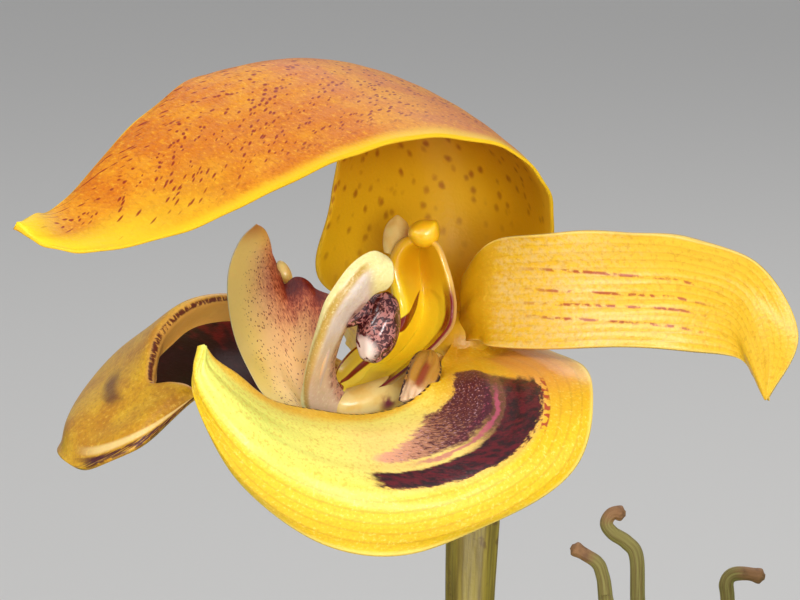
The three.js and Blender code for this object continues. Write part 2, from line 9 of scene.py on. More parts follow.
import bmesh
import bpy
import numpy as np
from bpy.props import FloatProperty, FloatVectorProperty, IntProperty, PointerProperty
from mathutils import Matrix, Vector


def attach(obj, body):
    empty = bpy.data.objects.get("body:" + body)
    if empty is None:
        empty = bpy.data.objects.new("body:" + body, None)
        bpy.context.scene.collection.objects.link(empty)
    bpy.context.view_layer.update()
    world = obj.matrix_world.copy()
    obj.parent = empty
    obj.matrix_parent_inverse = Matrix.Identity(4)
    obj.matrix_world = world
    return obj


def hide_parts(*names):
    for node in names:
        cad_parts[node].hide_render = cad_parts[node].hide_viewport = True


bl_info = {
    "name": "Potted Bulbophyllum",
    "version": (1, 0, 0),
    "blender": (4, 5, 0),
    "location": "3D View > Sidebar > Orchid",
    "description": "Builds a potted orchid with one open flower around its solid frame",
    "category": "Object",
}

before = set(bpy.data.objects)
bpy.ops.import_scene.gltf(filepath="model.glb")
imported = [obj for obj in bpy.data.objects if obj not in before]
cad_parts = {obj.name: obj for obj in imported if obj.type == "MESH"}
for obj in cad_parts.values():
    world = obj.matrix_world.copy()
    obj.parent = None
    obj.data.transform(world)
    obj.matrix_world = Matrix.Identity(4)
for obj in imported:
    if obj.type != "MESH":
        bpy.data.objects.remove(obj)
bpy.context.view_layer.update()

# Lengths are in millimetres, and MM turns them into metres. FLOWER is where the flower's layout
# stands in the plant's frame, and SOIL_Z and BULB_Z are the heights of the bark and of the bulbs' feet
MM = 0.001
FLOWER = (0.0, -25.0, 208.0)
VIEW_TILT = math.radians(12)
VIEW_DISTANCE = 300.0
VIEW_WIDTH = 57.14
SENSOR = 36.0
WORLD_LIGHT = 0.42
SOIL_Z = 83.0
BULB_Z = SOIL_Z + 4.6
RHIZOME_R = 3.0

# Fine veins and ribs across a blade, as the frequency of a sine over its width
HOOD_VEINS = 62
SEPAL_VEINS = 84
SEPAL_RIBS = 50
PETAL_VEINS = 88
LEAF_VEINS = 130

# Radius and height of the pot's section, from its foot over the rim to its inner floor
POT_PROFILE = [
    (0.0, 0), (39.8, 0), (41, 1.2), (52.2, 76), (56.2, 76.6), (57.2, 78), (58.5, 93.6), (57.3, 95),
    (54.2, 95), (53, 93.6), (37.2, 8), (35.4, 6.2), (0.0, 6.2),
]

# Feet x, y, height, radius, lean x, y, then the leaf's heading, length, half width, rise at
# its foot and tip in degrees, and bend sideways
SHOOTS = [
    (-38, 12, 29, 6.4, -4, 2, 160, 110, 16, 84, 32, -8),
    (-25, 3, 31, 6.8, -3, -3, 238, 106, 18, 76, -2, 8),
    (-10, 9, 30, 6.6, -2, 4, 100, 98, 18, 46, -30, 8),
    (3, 17, 28, 6.2, 0, 4, 66, 98, 17, 44, -28, -10),
    (16, 4, 32, 7.0, 4, -3, -26, 114, 18, 76, 26, -6),
    (29, -7, 30, 6.6, 4, -3, -70, 102, 17, 76, -4, 8),
    (39, 7, 26, 5.8, 4, 2, 46, 98, 16, 66, -10, -8),
]

# Control rails of the flower's organs, side by side; each rail runs from the base to the tip
DORSAL = [
    [(3.6, 6.2, -1.5), (-1.4, 8.5, -0.6), (-5.9, 6.5, 1.6), (-4.9, 4, 7.6), (-4.3, 2, 12.2),
     (-6.8, 1, 14.6), (-11.3, -4, 15.5), (-14.9, -9, 14.9), (-19, -15, 10.9), (-22.5, -20, 6.5),
     (-24.2, -22.4, 5.6), (-25.3, -24, 4.9)],
    [(5.2, 6.8, -1.8), (5.4, 11, 0.4), (5.1, 12.5, 4.8), (4.2, 11, 10.2), (1.9, 8, 14.4),
     (-2.2, 3, 16.4), (-7, -4, 16.1), (-12.7, -11, 13.1), (-17.2, -17, 9.1), (-21.6, -21.5, 5.2),
     (-23.8, -23.2, 4.7), (-25.3, -24, 4.9)],
    [(6.6, 5, -1.5), (10.2, 5.5, -0.4), (11, 3.5, 4.4), (10.5, 0, 8), (7.6, -4, 10.6),
     (2.1, -8, 11.3), (-3.4, -12, 9.9), (-8.8, -17, 7.3), (-14, -21, 4.7), (-19.7, -24, 3.2),
     (-23.2, -24.4, 3.5), (-25.3, -24, 4.9)],
]
NEAR_SEPAL = [
    [(3.7, 2.6, -3.3), (3.1, -0.4, -4.1), (2.8, -3.5, -4.8), (2.4, -6, -5.5), (1.7, -8, -6.5),
     (-0.3, -8.5, -7.4), (-2.9, -9, -7.9), (-5.7, -10, -7.8), (-8.6, -12, -6.9), (-11, -14, -5.5),
     (-12.4, -15.5, -4.1), (-13.3, -17, -3)],
    [(5.1, 4.2, -3), (5.6, 0.8, -4.3), (6.4, -2.2, -4.7), (7.8, -7, -5.8), (8.1, -10.5, -8.3),
     (6.1, -13, -10.7), (2, -14, -12.4), (-2.7, -15, -12.6), (-7.1, -16, -11.2), (-10.6, -17, -8.8),
     (-13.4, -17, -5.4), (-13.3, -17, -3)],
    [(6.7, 4.6, -2.8), (9.2, 3.6, -3.1), (10.4, 2.5, -3.6), (13, -3, -4.9), (13.3, -9, -7.6),
     (11.7, -11, -11.6), (6.8, -12.5, -15.1), (0.7, -13, -17.2), (-5.8, -14, -16.3),
     (-10.9, -15.5, -12.4), (-13.6, -16.5, -6.7), (-13.3, -17, -3)],
]
EAR = [
    [(0.1, -7.8, -7.1), (0.3, -7.2, -6), (0.6, -6.4, -5), (1.1, -5.4, -4.1), (2.1, -4.6, -3.7)],
    [(0.8, -8.3, -6.9), (1.1, -8, -6), (1.5, -7.2, -5.1), (2, -6, -4.3), (2.1, -4.6, -3.7)],
    [(1.4, -7.8, -6.7), (2.2, -7.2, -6), (2.7, -6.2, -5.1), (2.7, -5.2, -4.3), (2.1, -4.6, -3.7)],
]
FAR_SEPAL = [
    [(2.2, 6.2, -5.5), (-1.2, 9.6, -6.8), (-6.1, 11.6, -5), (-9.6, 11.2, -1.9), (-12.4, 9.3, -1.5),
     (-15.1, 7.3, -1.9), (-17.1, 5, -3.4), (-17.8, 3.4, -5.1), (-17.8, 1.9, -6.4), (-16.7, 0.8, -6.5),
     (-15.5, 0.2, -6.6), (-14.5, 0, -6.9)],
    [(2.3, 5.6, -5.2), (-1.1, 9, -6), (-6.1, 11, -3.8), (-9.8, 10.5, -0.6), (-12.8, 8.5, 0.1),
     (-15.6, 6.5, -0.5), (-17.6, 4.3, -2.4), (-18.3, 2.7, -4.8), (-18.2, 1.5, -6.3),
     (-16.7, 0.5, -6.3), (-15.5, 0, -6.4), (-14.5, 0, -6.9)],
    [(3.1, 6.4, -5.9), (-1.1, 10.5, -8), (-6.3, 13.5, -7.1), (-10.6, 14.5, -4.6), (-13.8, 14, -3.4),
     (-17.2, 13.5, -2.6), (-20.4, 12, -3.7), (-22.7, 9, -6.3), (-23.2, 4, -8.5), (-21.5, 1, -9.7),
     (-18.2, -1, -8.8), (-14.5, 0, -6.9)],
    [(4.2, 6.8, -6.5), (-0.6, 10, -10), (-7.1, 12, -10.4), (-11.2, 15, -8.6), (-13.9, 16, -7.1),
     (-18, 18, -6.4), (-21.6, 18, -7.4), (-24, 13, -9.4), (-24.7, 4.5, -11), (-22.6, 0, -12),
     (-18.8, -2, -10.6), (-14.5, 0, -6.9)],
]
NEAR_PETAL = [
    [(4.6, 2.6, 1.9), (5.8, 0.6, 3.5), (7.2, -0.8, 4.4), (11, -3.2, 4.8), (15.6, -4.6, 4.8),
     (20.2, -6, 4.3), (25, -7.5, 2.5), (27.6, -9, -2.4), (25.3, -11, -6.9)],
    [(4.5, 2.4, -0.6), (5.6, 0.9, 0.4), (7.1, -0.2, 0.5), (11, -2.2, 0.6), (15.4, -3.6, 0.7),
     (20.2, -5, 0.6), (23.5, -6.8, -0.6), (24.7, -8.8, -3.5), (25.3, -11, -6.9)],
    [(4.6, 2.2, -3), (5.6, 0.4, -2.9), (6.8, -1, -3.4), (11, -3.2, -3.5), (15.4, -4.6, -3.3),
     (20.2, -6, -3.5), (23.4, -7.4, -4), (24.6, -9.2, -5.3), (25.3, -11, -6.9)],
]
FAR_PETAL = [
    [(2.6, 4.6, -1.8), (1.2, 8, -2), (-0.8, 12.5, -1), (-2.4, 16.5, 1.5), (-3.6, 21, 3.6),
     (-4.4, 25, 4.8), (-5, 28, 4.4), (-5, 29.5, 2.5)],
    [(2.4, 4.6, -2.5), (1, 8, -3.4), (-0.6, 12.5, -3.4), (-2, 17, -1.8), (-3.2, 21.5, 0),
     (-4, 25.5, 1.2), (-4.6, 28.2, 2), (-5, 29.5, 2.5)],
    [(2.6, 4.6, -3.4), (1.2, 7.8, -4.5), (-0.8, 12, -5.6), (-2.4, 16.5, -5.2), (-3.6, 21, -3.9),
     (-4.4, 25, -2.4), (-5, 28, 0), (-5, 29.5, 2.5)],
]
LIP = [
    [(-10.1, -3, 5.3), (-11.2, -3.3, 4.2), (-11.9, -3.7, 2.3), (-12, -4.1, 0), (-11.5, -4.6, -2.6),
     (-10.5, -5, -4.9), (-9.1, -5.2, -6.9), (-6.6, -5, -8.1)],
    [(-9.4, -3.6, 4.7), (-10.1, -4.6, 3), (-10.5, -5.4, 1.1), (-10.4, -5.9, -0.8), (-10, -6.1, -3),
     (-9.2, -6, -5), (-8.3, -5.6, -6.8), (-6.6, -5, -8.1)],
    [(-9.1, -4.6, 3.1), (-9, -6, 1.7), (-8.9, -6.9, 0.3), (-8.7, -7.2, -1.4), (-8.4, -7.1, -3.3),
     (-8, -6.6, -5.2), (-7.4, -5.9, -6.8), (-6.6, -5, -8.1)],
    [(-8, -6.4, 1.1), (-7.7, -7.3, 0.2), (-7.4, -7.9, -0.8), (-7.2, -8.1, -2.2), (-7.1, -7.8, -3.9),
     (-7, -7.1, -5.5), (-6.8, -6.1, -6.9), (-6.6, -5, -8.1)],
    [(-7, -7.6, 1.5), (-6.5, -8.6, 0.5), (-6.4, -9, -0.7), (-6.3, -9.1, -2.1), (-6.3, -8.6, -3.8),
     (-6.3, -7.6, -5.4), (-6.4, -6.3, -6.9), (-6.6, -5, -8.1)],
    [(-5.8, -8.8, 0.7), (-5.5, -9.8, -0.2), (-5.4, -10.2, -1.4), (-5.5, -10.1, -2.8),
     (-5.7, -9.4, -4.3), (-5.9, -8.1, -5.7), (-6.1, -6.5, -7), (-6.6, -5, -8.1)],
    [(-4.6, -10.4, 0.3), (-4.5, -11.2, -0.8), (-4.7, -11.4, -2.1), (-5, -11.2, -3.4),
     (-5.3, -10.2, -4.8), (-5.7, -8.6, -6.1), (-6, -6.7, -7.1), (-6.6, -5, -8.1)],
]
LIP_SIDE = [
    [(-1, -12.6, 2.9), (-1.8, -13.2, 3.3), (-2.7, -13.6, 2.9), (-3.5, -13.9, 2.2), (-4.3, -14, 1.1),
     (-5, -13.8, -0.1), (-5.5, -13, -1.7), (-6, -11.8, -3.4), (-6.5, -10, -5.2), (-6.9, -8, -6.8),
     (-6.6, -6.2, -8)],
    [(-0.6, -12.9, 2.3), (-1.6, -13.6, 2.2), (-2.5, -14, 1.8), (-3.2, -14.2, 1), (-4, -14.2, 0),
     (-4.7, -13.9, -1.2), (-5.4, -12.9, -2.9), (-5.9, -11.5, -4.3), (-6.3, -9.6, -5.8),
     (-6.3, -7.6, -7.1), (-5.7, -5.9, -7.9)],
    [(-0.6, -12.6, 1.5), (-1.5, -13, 1.3), (-2.3, -13, 0.9), (-2.9, -12.7, 0.2), (-3.6, -12.2, -0.7),
     (-4.3, -11.4, -1.9), (-5, -10.4, -3.3), (-5.4, -9.3, -4.6), (-5.5, -7.9, -6), (-5.1, -6.4, -7.1),
     (-4.4, -5.3, -7.7)],
    [(-1, -12, 0.8), (-1.7, -12, 0.6), (-2.3, -11.4, 0.1), (-2.8, -10.6, -0.6), (-3.4, -9.7, -1.2),
     (-4, -8.8, -2.2), (-4.4, -8, -3.3), (-4.7, -7.2, -4.5), (-4.5, -6.2, -5.7), (-4, -5.3, -6.5),
     (-3.2, -4.6, -7)],
]
FOOT = [(2.6, 0.4, -4.4), (1.6, -1.2, -5.2), (0, -3, -6.2), (-2.1, -4.2, -7), (-3.9, -4.8, -7.3),
        (-5.1, -5, -7)]
WING = [
    [(-1, 2, 3.4), (-1.1, 2.4, 4.3), (-0.9, 2.8, 5.3), (-0.2, 3, 6)],
    [(-0.4, 1.6, 3.2), (-0.4, 2, 4.2), (-0.2, 2.5, 5.3), (-0.2, 3, 6)],
    [(0.3, 2, 3.2), (0.5, 2.4, 4.3), (0.5, 2.8, 5.3), (-0.2, 3, 6)],
]
COLUMN = [
    [(1.7, 0.6, 4.6), (2.7, -0.3, 3.8), (3.3, -0.9, 2.3), (3.7, -1.4, 0.9), (3.9, -1.9, -0.4),
     (3.7, -2.4, -1.8), (2.8, -3, -3), (1.7, -3.6, -4), (0, -4.3, -5.4), (-1.5, -4.9, -6.4),
     (-2.9, -5.4, -7), (-3.9, -5.5, -6.9), (-4.4, -5.2, -6.1)],
    [(1.7, 1, 4.5), (1.5, 2.6, 3.6), (1.6, 3.4, 2.2), (1.8, 3.7, 0.7), (1.9, 3.5, -0.6),
     (1.5, 2.9, -2), (0.7, 1.8, -3.3), (-0.4, 0.6, -4.4), (-1.6, -0.8, -5.2), (-2.6, -2.3, -5.9),
     (-3.4, -3.7, -6.2), (-3.9, -4.6, -6.3), (-4.4, -5.2, -6.1)],
    [(1.7, 0.6, 4.6), (0.3, 0.9, 3.9), (-0.3, 1.3, 2.4), (0, 1.4, 0.7), (0.3, 1.2, -0.6),
     (0, 0.6, -1.9), (-0.7, -0.1, -2.7), (-1.6, -0.9, -3.6), (-2.5, -1.9, -4.3), (-3.3, -3, -5),
     (-3.9, -4.1, -5.6), (-4.3, -4.8, -5.9), (-4.4, -5.2, -6.1)],
    [(1.7, 0.8, 4.6), (0.1, 1.8, 4), (-0.6, 2.2, 2.6), (-0.4, 2.3, 0.9), (-0.2, 2.1, -0.4),
     (-0.6, 1.5, -1.6), (-1.3, 0.8, -2.4), (-2.3, 0.1, -3.1), (-3.3, -0.8, -3.7), (-4, -2, -4.4),
     (-4.5, -3.3, -5.1), (-4.6, -4.4, -5.6), (-4.4, -5.2, -6.1)],
]
OVARY = [(4.9, 9.9, -33), (5.0, 9.3, -28), (5.2, 8.6, -20), (5.6, 8.4, -13), (6.5, 7.8, -8),
         (6.3, 6.0, -4.2), (5.1, 4.0, -2.6)]
# The flower stalk, low in the plant's frame and high in the flower's layout, and its sheaths
SCAPE_LOW = [(6, -11, SOIL_Z - 6), (6.4, -12, 100), (5.2, -14, 122), (3.6, -16, 146)]
SCAPE_HIGH = [(4.2, 10.5, -40), (5.0, 9.6, -29)]
SHEATHS = (0.1, 0.3, 0.52, 0.9)
# Spent stalks: where each stands on the bark, then its upper rail in the flower's layout
SPENT = [
    ((13, 17), [(20, 50, -31), (19.8, 50, -25), (19.7, 50, -21.4), (18.9, 50.2, -20.2),
                (17.7, 50, -19.4), (17.2, 50, -18.6), (17.7, 50, -17.8), (18.8, 50, -17.8)]),
    ((19, 15), [(17.2, 46, -30), (16.9, 46, -24.2), (16.6, 46, -22.4), (16.2, 46, -21.6),
                (15.3, 46, -21), (14.1, 46, -20.3)]),
    ((30, 9), [(27.6, 50, -31), (27.3, 50, -25), (27.2, 50, -23.6), (27.7, 50, -22.9),
               (28.9, 50, -22.8), (30.4, 50, -23.1)]),
]


# Surfaces worked out with numpy

def placed(points):
    """Points of the flower's layout in the plant's frame: turned down by the view's tilt about X."""
    p = np.asarray(points, float)
    c, s = math.cos(VIEW_TILT), math.sin(VIEW_TILT)
    turned = np.stack([p[..., 0], c * p[..., 1] + s * p[..., 2], -s * p[..., 1] + c * p[..., 2]], -1)
    return turned + np.array(FLOWER)


def spline(points, t):
    """Uniform Catmull-Rom curve through points; t from 0 to 1, ends continued straight."""
    p = np.asarray(points, float)
    p = np.concatenate([[2 * p[0] - p[1]], p, [2 * p[-1] - p[-2]]])
    x = np.clip(np.asarray(t, float), 0, 1) * (len(p) - 3)
    i = np.minimum(x.astype(int), len(p) - 4)
    f = (x - i)[..., None]
    a, b, c, d = p[i], p[i + 1], p[i + 2], p[i + 3]
    return b + 0.5 * f * (c - a + f * (2 * a - 5 * b + 4 * c - d + f * (3 * (b - c) + d - a)))


def railed(rails, u, v):
    """Grid over rails: three are joined by a parabola across, more by a Catmull-Rom curve."""
    rows = np.stack([spline(r, u) for r in rails])
    if len(rails) == 3:
        w = np.stack([(1 - v) * (1 - 2 * v), 4 * v * (1 - v), v * (2 * v - 1)])
        return np.einsum("kv,kuc->uvc", w, rows)
    return np.moveaxis(spline(rows.reshape(len(rails), -1), v).reshape(len(v), len(u), 3), 0, 1)


def normals(grid):
    """Unit normals of a grid: the cross product of its differences along and across."""
    n = np.cross(np.gradient(grid, axis=0), np.gradient(grid, axis=1))
    return n / np.maximum(np.linalg.norm(n, axis=-1, keepdims=True), 1e-12)


def smooth(a, b, x):
    """Smoothstep from 0 at a to 1 at b."""
    t = np.clip((x - a) / (b - a), 0, 1)
    return t * t * (3 - 2 * t)


def waves(seed, count, reach, *coords):
    """Sum of sines with seeded directions and phases, about -1 to 1; reach is the highest frequency."""
    rng = np.random.default_rng(seed)
    total = 0
    for _ in range(count):
        k = rng.normal(size=len(coords)) * reach / 2
        total = total + np.sin(sum(a * b for a, b in zip(k, coords)) + rng.uniform(0, 2 * math.pi))
    return total / math.sqrt(count)


def axes(rows, cols):
    """Steps from 0 to 1 along and across a blade, and each step's share of the way to a margin."""
    v = np.linspace(0, 1, cols)
    return np.linspace(0, 1, rows), v, np.abs(2 * v - 1)[None]


def ripple(seed, count, reach, u, v, across=1):
    """Waves over a blade's grid; across below 1 makes them run from margin to margin."""
    return waves(seed, count, reach, u[:, None], v[None] * across)


def tip_fade(u, start=0.93):
    """One value for each row: 1, falling to 0 from start to the tip, where relief has to end."""
    return (1 - smooth(start, 1, u))[:, None]


def quads(rows, cols, wrap=False):
    """Corner indices of the faces of a grid of vertices, closed across if wrap."""
    i, j = np.meshgrid(np.arange(rows - 1), np.arange(cols if wrap else cols - 1), indexing="ij")
    k = (j + 1) % cols
    return np.stack([i * cols + j, (i + 1) * cols + j, (i + 1) * cols + k, i * cols + k], -1).reshape(-1, 4)


def make(name, verts, faces, material, nodes=(), data=None, stage=False):
    """Blender object from vertices in millimetres and faces, with float attributes per vertex."""
    mesh = bpy.data.meshes.new(name)
    mesh.from_pydata((np.asarray(verts) * MM).tolist(), [], [tuple(f) for f in faces])
    for key, values in (data or {}).items():
        mesh.attributes.new(key, "FLOAT", "POINT").data.foreach_set("value", np.asarray(values, np.float32))
    mesh.polygons.foreach_set("use_smooth", np.ones(len(mesh.polygons), bool))
    mesh.materials.append(material)
    mesh.validate()
    obj = bpy.data.objects.new(name, mesh)
    bpy.context.scene.collection.objects.link(obj)
    if stage:
        return obj
    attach(obj, "root")
    if nodes:
        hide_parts(*nodes)
    return obj


def arc(grid, axis):
    """Distance run along one axis of a grid, from its start."""
    step = np.linalg.norm(np.diff(grid, axis=axis), axis=-1)
    lead = np.zeros_like(np.take(step, [0], axis=axis))
    return np.cumsum(np.concatenate([lead, step], axis=axis), axis=axis)


def shell(name, grid, thick, inner, material, nodes=(), lift=None, flower=True):
    """Closed blade over a grid that ends in a point. Half the thickness lies on each side along
    the normals; inner is +1 or -1, the side of the normals that is the upper face. lift raises
    both faces. Attributes: along and across from 0 to 1, run and reach in mm, face 1 above."""
    rows, cols = grid.shape[:2]
    n = normals(grid)
    n[-1] = n[-2].mean(axis=0)
    n[-1] /= np.linalg.norm(n[-1, 0])
    if lift is not None:
        grid = grid + n * inner * lift[..., None]
    half = np.broadcast_to(thick, (rows, cols))[..., None] / 2
    top, low = grid + n * inner * half, grid - n * inner * half
    u = np.linspace(0, 1, rows)[:, None] * np.ones(cols)
    v = np.ones(rows)[:, None] * np.linspace(0, 1, cols)
    run = arc(grid, 0)
    reach = arc(grid, 1)
    reach = reach - reach[:, cols // 2][:, None]
    size = rows * cols
    f = quads(rows, cols)
    rim = np.concatenate([np.arange(rows) * cols, (rows - 1) * cols + np.arange(1, cols),
                          (np.arange(rows - 1)[::-1]) * cols + cols - 1, np.arange(1, cols - 1)[::-1]])
    nxt = np.roll(rim, -1)
    faces = np.concatenate([f, f[:, ::-1] + size, np.stack([rim, rim + size, nxt + size, nxt], -1)])
    if inner < 0:
        faces = faces[:, ::-1]
    verts = np.concatenate([top.reshape(-1, 3), low.reshape(-1, 3)])
    data = {k: np.tile(a.ravel(), 2) for k, a in
            (("along", u), ("across", v), ("run", run), ("reach", reach))}
    data["face"] = np.repeat([1.0, 0.0], size)
    obj = make(name, placed(verts) if flower else verts, faces, material, nodes, data)
    weld(obj)
    return obj


def weld(obj, dist=2e-6):
    """Merges doubles at a pointed end and turns the faces outward."""
    bm = bmesh.new()
    bm.from_mesh(obj.data)
    bmesh.ops.remove_doubles(bm, verts=bm.verts, dist=dist)
    bmesh.ops.recalc_face_normals(bm, faces=bm.faces)
    bm.to_mesh(obj.data)
    bm.free()


def tube_points(path, radius, sides, grain=None):
    """Rings round a path, in a frame carried along without twist. radius has one value for each
    ring, or one for each ring and side. Returns the rings as a grid."""
    path = np.asarray(path, float)
    d = np.gradient(path, axis=0)
    d /= np.linalg.norm(d, axis=1, keepdims=True)
    side = np.array([1.0, 0, 0]) if abs(d[0, 0]) < 0.9 else np.array([0, 1.0, 0])
    frames = []
    for t in d:
        side = side - t * side.dot(t)
        side = side / np.linalg.norm(side)
        frames.append(side)
    s = np.array(frames)
    o = np.cross(d, s)
    a = np.linspace(0, 2 * math.pi, sides, endpoint=False)
    r = np.asarray(radius, float)
    r = r[:, None] * np.ones(sides) if r.ndim == 1 else r
    if grain is not None:
        r = r * (1 + grain)
    ring = s[:, None] * np.cos(a)[None, :, None] + o[:, None] * np.sin(a)[None, :, None]
    return path[:, None] + ring * r[..., None]


def tube_mesh(grid):
    """Closes a grid of rings with a fan at each end; returns vertices and faces."""
    rows, sides = grid.shape[:2]
    verts = np.concatenate([grid.reshape(-1, 3), grid[:1].mean(axis=1), grid[-1:].mean(axis=1)])
    k = np.arange(sides)
    k2 = (k + 1) % sides
    s = rows * sides
    caps = np.concatenate([np.stack([np.full(sides, s), k2, k], -1),
                           np.stack([np.full(sides, s + 1), s - sides + k, s - sides + k2], -1)])
    return verts, quads(rows, sides, wrap=True)[:, ::-1].tolist() + caps.tolist()


def tube(name, path, radius, sides, material, nodes=(), grain=None):
    """Closed stem along a path. Attributes: along from 0 to 1, run in mm, and turn, which is 1 at
    the first side and falls to 0 opposite it."""
    grid = tube_points(path, radius, sides, grain)
    verts, faces = tube_mesh(grid)
    rows = len(grid)
    along = np.concatenate([np.repeat(np.linspace(0, 1, rows), sides), [0, 1]])
    turn = np.concatenate([np.tile(np.abs(np.linspace(-1, 1, sides, endpoint=False)), rows), [0, 0]])
    run = np.concatenate([np.repeat(arc(np.asarray(path, float), 0), sides), [0, 0]])
    obj = make(name, verts, faces, material, nodes, {"along": along, "turn": turn, "run": run})
    weld(obj)
    return obj


# Shader maths

class Val:
    """A shader socket that takes part in Python expressions."""

    def __init__(self, mat, socket):
        self.mat = mat
        self.socket = socket

    def _math(self, op, *args):
        return self.mat.node("ShaderNodeMath", {"operation": op}, dict(enumerate(args)))

    def __add__(self, o):
        return self._math("ADD", self, o)

    __radd__ = __add__

    def __sub__(self, o):
        return self._math("SUBTRACT", self, o)

    def __rsub__(self, o):
        return self._math("SUBTRACT", o, self)

    def __mul__(self, o):
        return self._math("MULTIPLY", self, o)

    __rmul__ = __mul__

    def __abs__(self):
        return self._math("ABSOLUTE", self)

    def low(self, o):
        return self._math("MINIMUM", self, o)

    def high(self, o):
        return self._math("MAXIMUM", self, o)

    def sine(self):
        return self._math("SINE", self)


class Mat:
    """A node material with a Principled shader and methods for what feeds it."""

    def __init__(self, name, **settings):
        self.material = bpy.data.materials.new(name)
        self.material.use_nodes = True
        self.tree = self.material.node_tree
        self.shader = next(n for n in self.tree.nodes if n.type == "BSDF_PRINCIPLED")
        self.coords = self.node("ShaderNodeTexCoord", out="Object")
        for key, value in settings.items():
            self.shader.inputs[key.replace("_", " ")].default_value = value

    def node(self, kind, settings=None, inputs=None, out=0):
        n = self.tree.nodes.new(kind)
        for key, value in (settings or {}).items():
            setattr(n, key, value)
        for key, value in (inputs or {}).items():
            if isinstance(value, Val):
                self.tree.links.new(value.socket, n.inputs[key])
            else:
                n.inputs[key].default_value = value
        return Val(self, n.outputs[out])

    def attr(self, name):
        return self.node("ShaderNodeAttribute", {"attribute_name": name}, out="Fac")

    def step(self, a, b, x):
        """0 up to a, rising to 1 at b."""
        return self.node("ShaderNodeMapRange", {"interpolation_type": "SMOOTHSTEP"},
                         {"Value": x, "From Min": a, "From Max": b}, out="Result")

    def fall(self, a, b, x):
        """1 up to a, falling to 0 at b."""
        return 1 - self.step(a, b, x)

    def band(self, x, centre, width, soft):
        """1 within width of centre, falling to 0 over soft."""
        return self.fall(width, width + soft, abs(x - centre))

    def near(self, point, radius, soft):
        """1 within radius of a point of the flower's layout, in mm, falling to 0 over soft."""
        at = tuple(float(c) for c in placed(point) * MM)
        d = self.vector_math("DISTANCE", self.coords, at, "Value")
        return self.fall(radius * MM, (radius + soft) * MM, d)

    def noise(self, scale, detail=2.0, rough=0.5, vector=None, out="Fac", distort=0.0):
        return self.node("ShaderNodeTexNoise", None,
                         {"Vector": vector or self.coords, "Scale": scale, "Detail": detail,
                          "Roughness": rough, "Distortion": distort}, out=out)

    def cells(self, scale, vector=None, feature="F1"):
        """Distance to the nearest of points strewn through space."""
        return self.node("ShaderNodeTexVoronoi", {"feature": feature},
                         {"Vector": vector or self.coords, "Scale": scale}, out="Distance")

    def vector(self, x, y, z):
        return self.node("ShaderNodeCombineXYZ", None, {0: x, 1: y, 2: z})

    def vector_math(self, op, a, b, out="Vector"):
        return self.node("ShaderNodeVectorMath", {"operation": op}, {0: a, 1: b}, out=out)

    def flat(self, along=1, across=1, depth=0):
        """Place on a blade as its run and reach in mm, each times a factor, at a depth."""
        return self.vector(self.attr("run") * along, self.attr("reach") * across, depth)

    def scaled(self, vector, x, y):
        return self.vector_math("MULTIPLY", vector, (x, y, 1))

    def moved(self, vector, amount, scale):
        """A vector pushed about by soft noise, to break up straight lines."""
        n = self.noise(scale, vector=vector, out="Color")
        off = self.vector_math("SUBTRACT", n, (0.5, 0.5, 0.5))
        return self.vector_math("ADD", vector, self.vector_math("MULTIPLY", off, (amount,) * 3))

    def streaks(self, along, around):
        """Noise drawn out along a stem, from its run in mm and its turn."""
        at = self.vector(self.attr("run") * along, self.attr("turn") * around, 0)
        return self.noise(1.0, 4, vector=at)

    def mix(self, a, b, fac):
        """Colour a turned into b by fac."""
        return self.node("ShaderNodeMix", {"data_type": "RGBA"}, {"Factor": fac, 6: a, 7: b}, out=2)

    def bump(self, height, strength, distance):
        inputs = {"Height": height, "Strength": strength, "Distance": distance}
        return self.node("ShaderNodeBump", None, inputs, out="Normal")

    def feed(self, **links):
        """Joins values to the shader's inputs and returns the material."""
        for key, value in links.items():
            self.tree.links.new(value.socket, self.shader.inputs[key.replace("_", " ")])
        return self.material


def flesh(name, rough, glow, depth=0.001, coat=0.0, coat_rough=0.03, **more):
    """Material of a living skin. Light enters it by glow and spreads over depth, in metres."""
    return Mat(name, Roughness=rough, Subsurface_Weight=glow, Subsurface_Scale=depth, Coat_Weight=coat,
               Coat_Roughness=coat_rough, **more)


def rgb(*c):
    """Linear colour from 0 to 255 display values."""
    x = [v / 255 for v in c]
    return tuple(v / 12.92 if v <= 0.04045 else ((v + 0.055) / 1.055) ** 2.4 for v in x) + (1.0,)


# Finishes

def sparkle(m, height, strength=0.35):
    """Adds the fine beaded cells of a petal's skin to a height and feeds it as bump."""
    beads = m.cells(4200, feature="SMOOTH_F1") * 0.5 + m.noise(9000, 2) * 0.3
    m.feed(Normal=m.bump(height + beads, strength, 0.00012))


def grain_and_glints(m, skin, light, dark, scale=3200):
    """A skin mottled at the size of its cells: darker pits, and lighter grains that are partly its own tone
    and partly painted glints of the cells.
    """
    fine = m.noise(scale, 2, 0.6)
    skin = m.mix(skin, dark, m.fall(0.34, 0.48, fine) * 0.4)
    # The lighter grains are partly painted glints.
    return m.mix(skin, light, m.step(0.56, 0.7, fine) * 0.45)


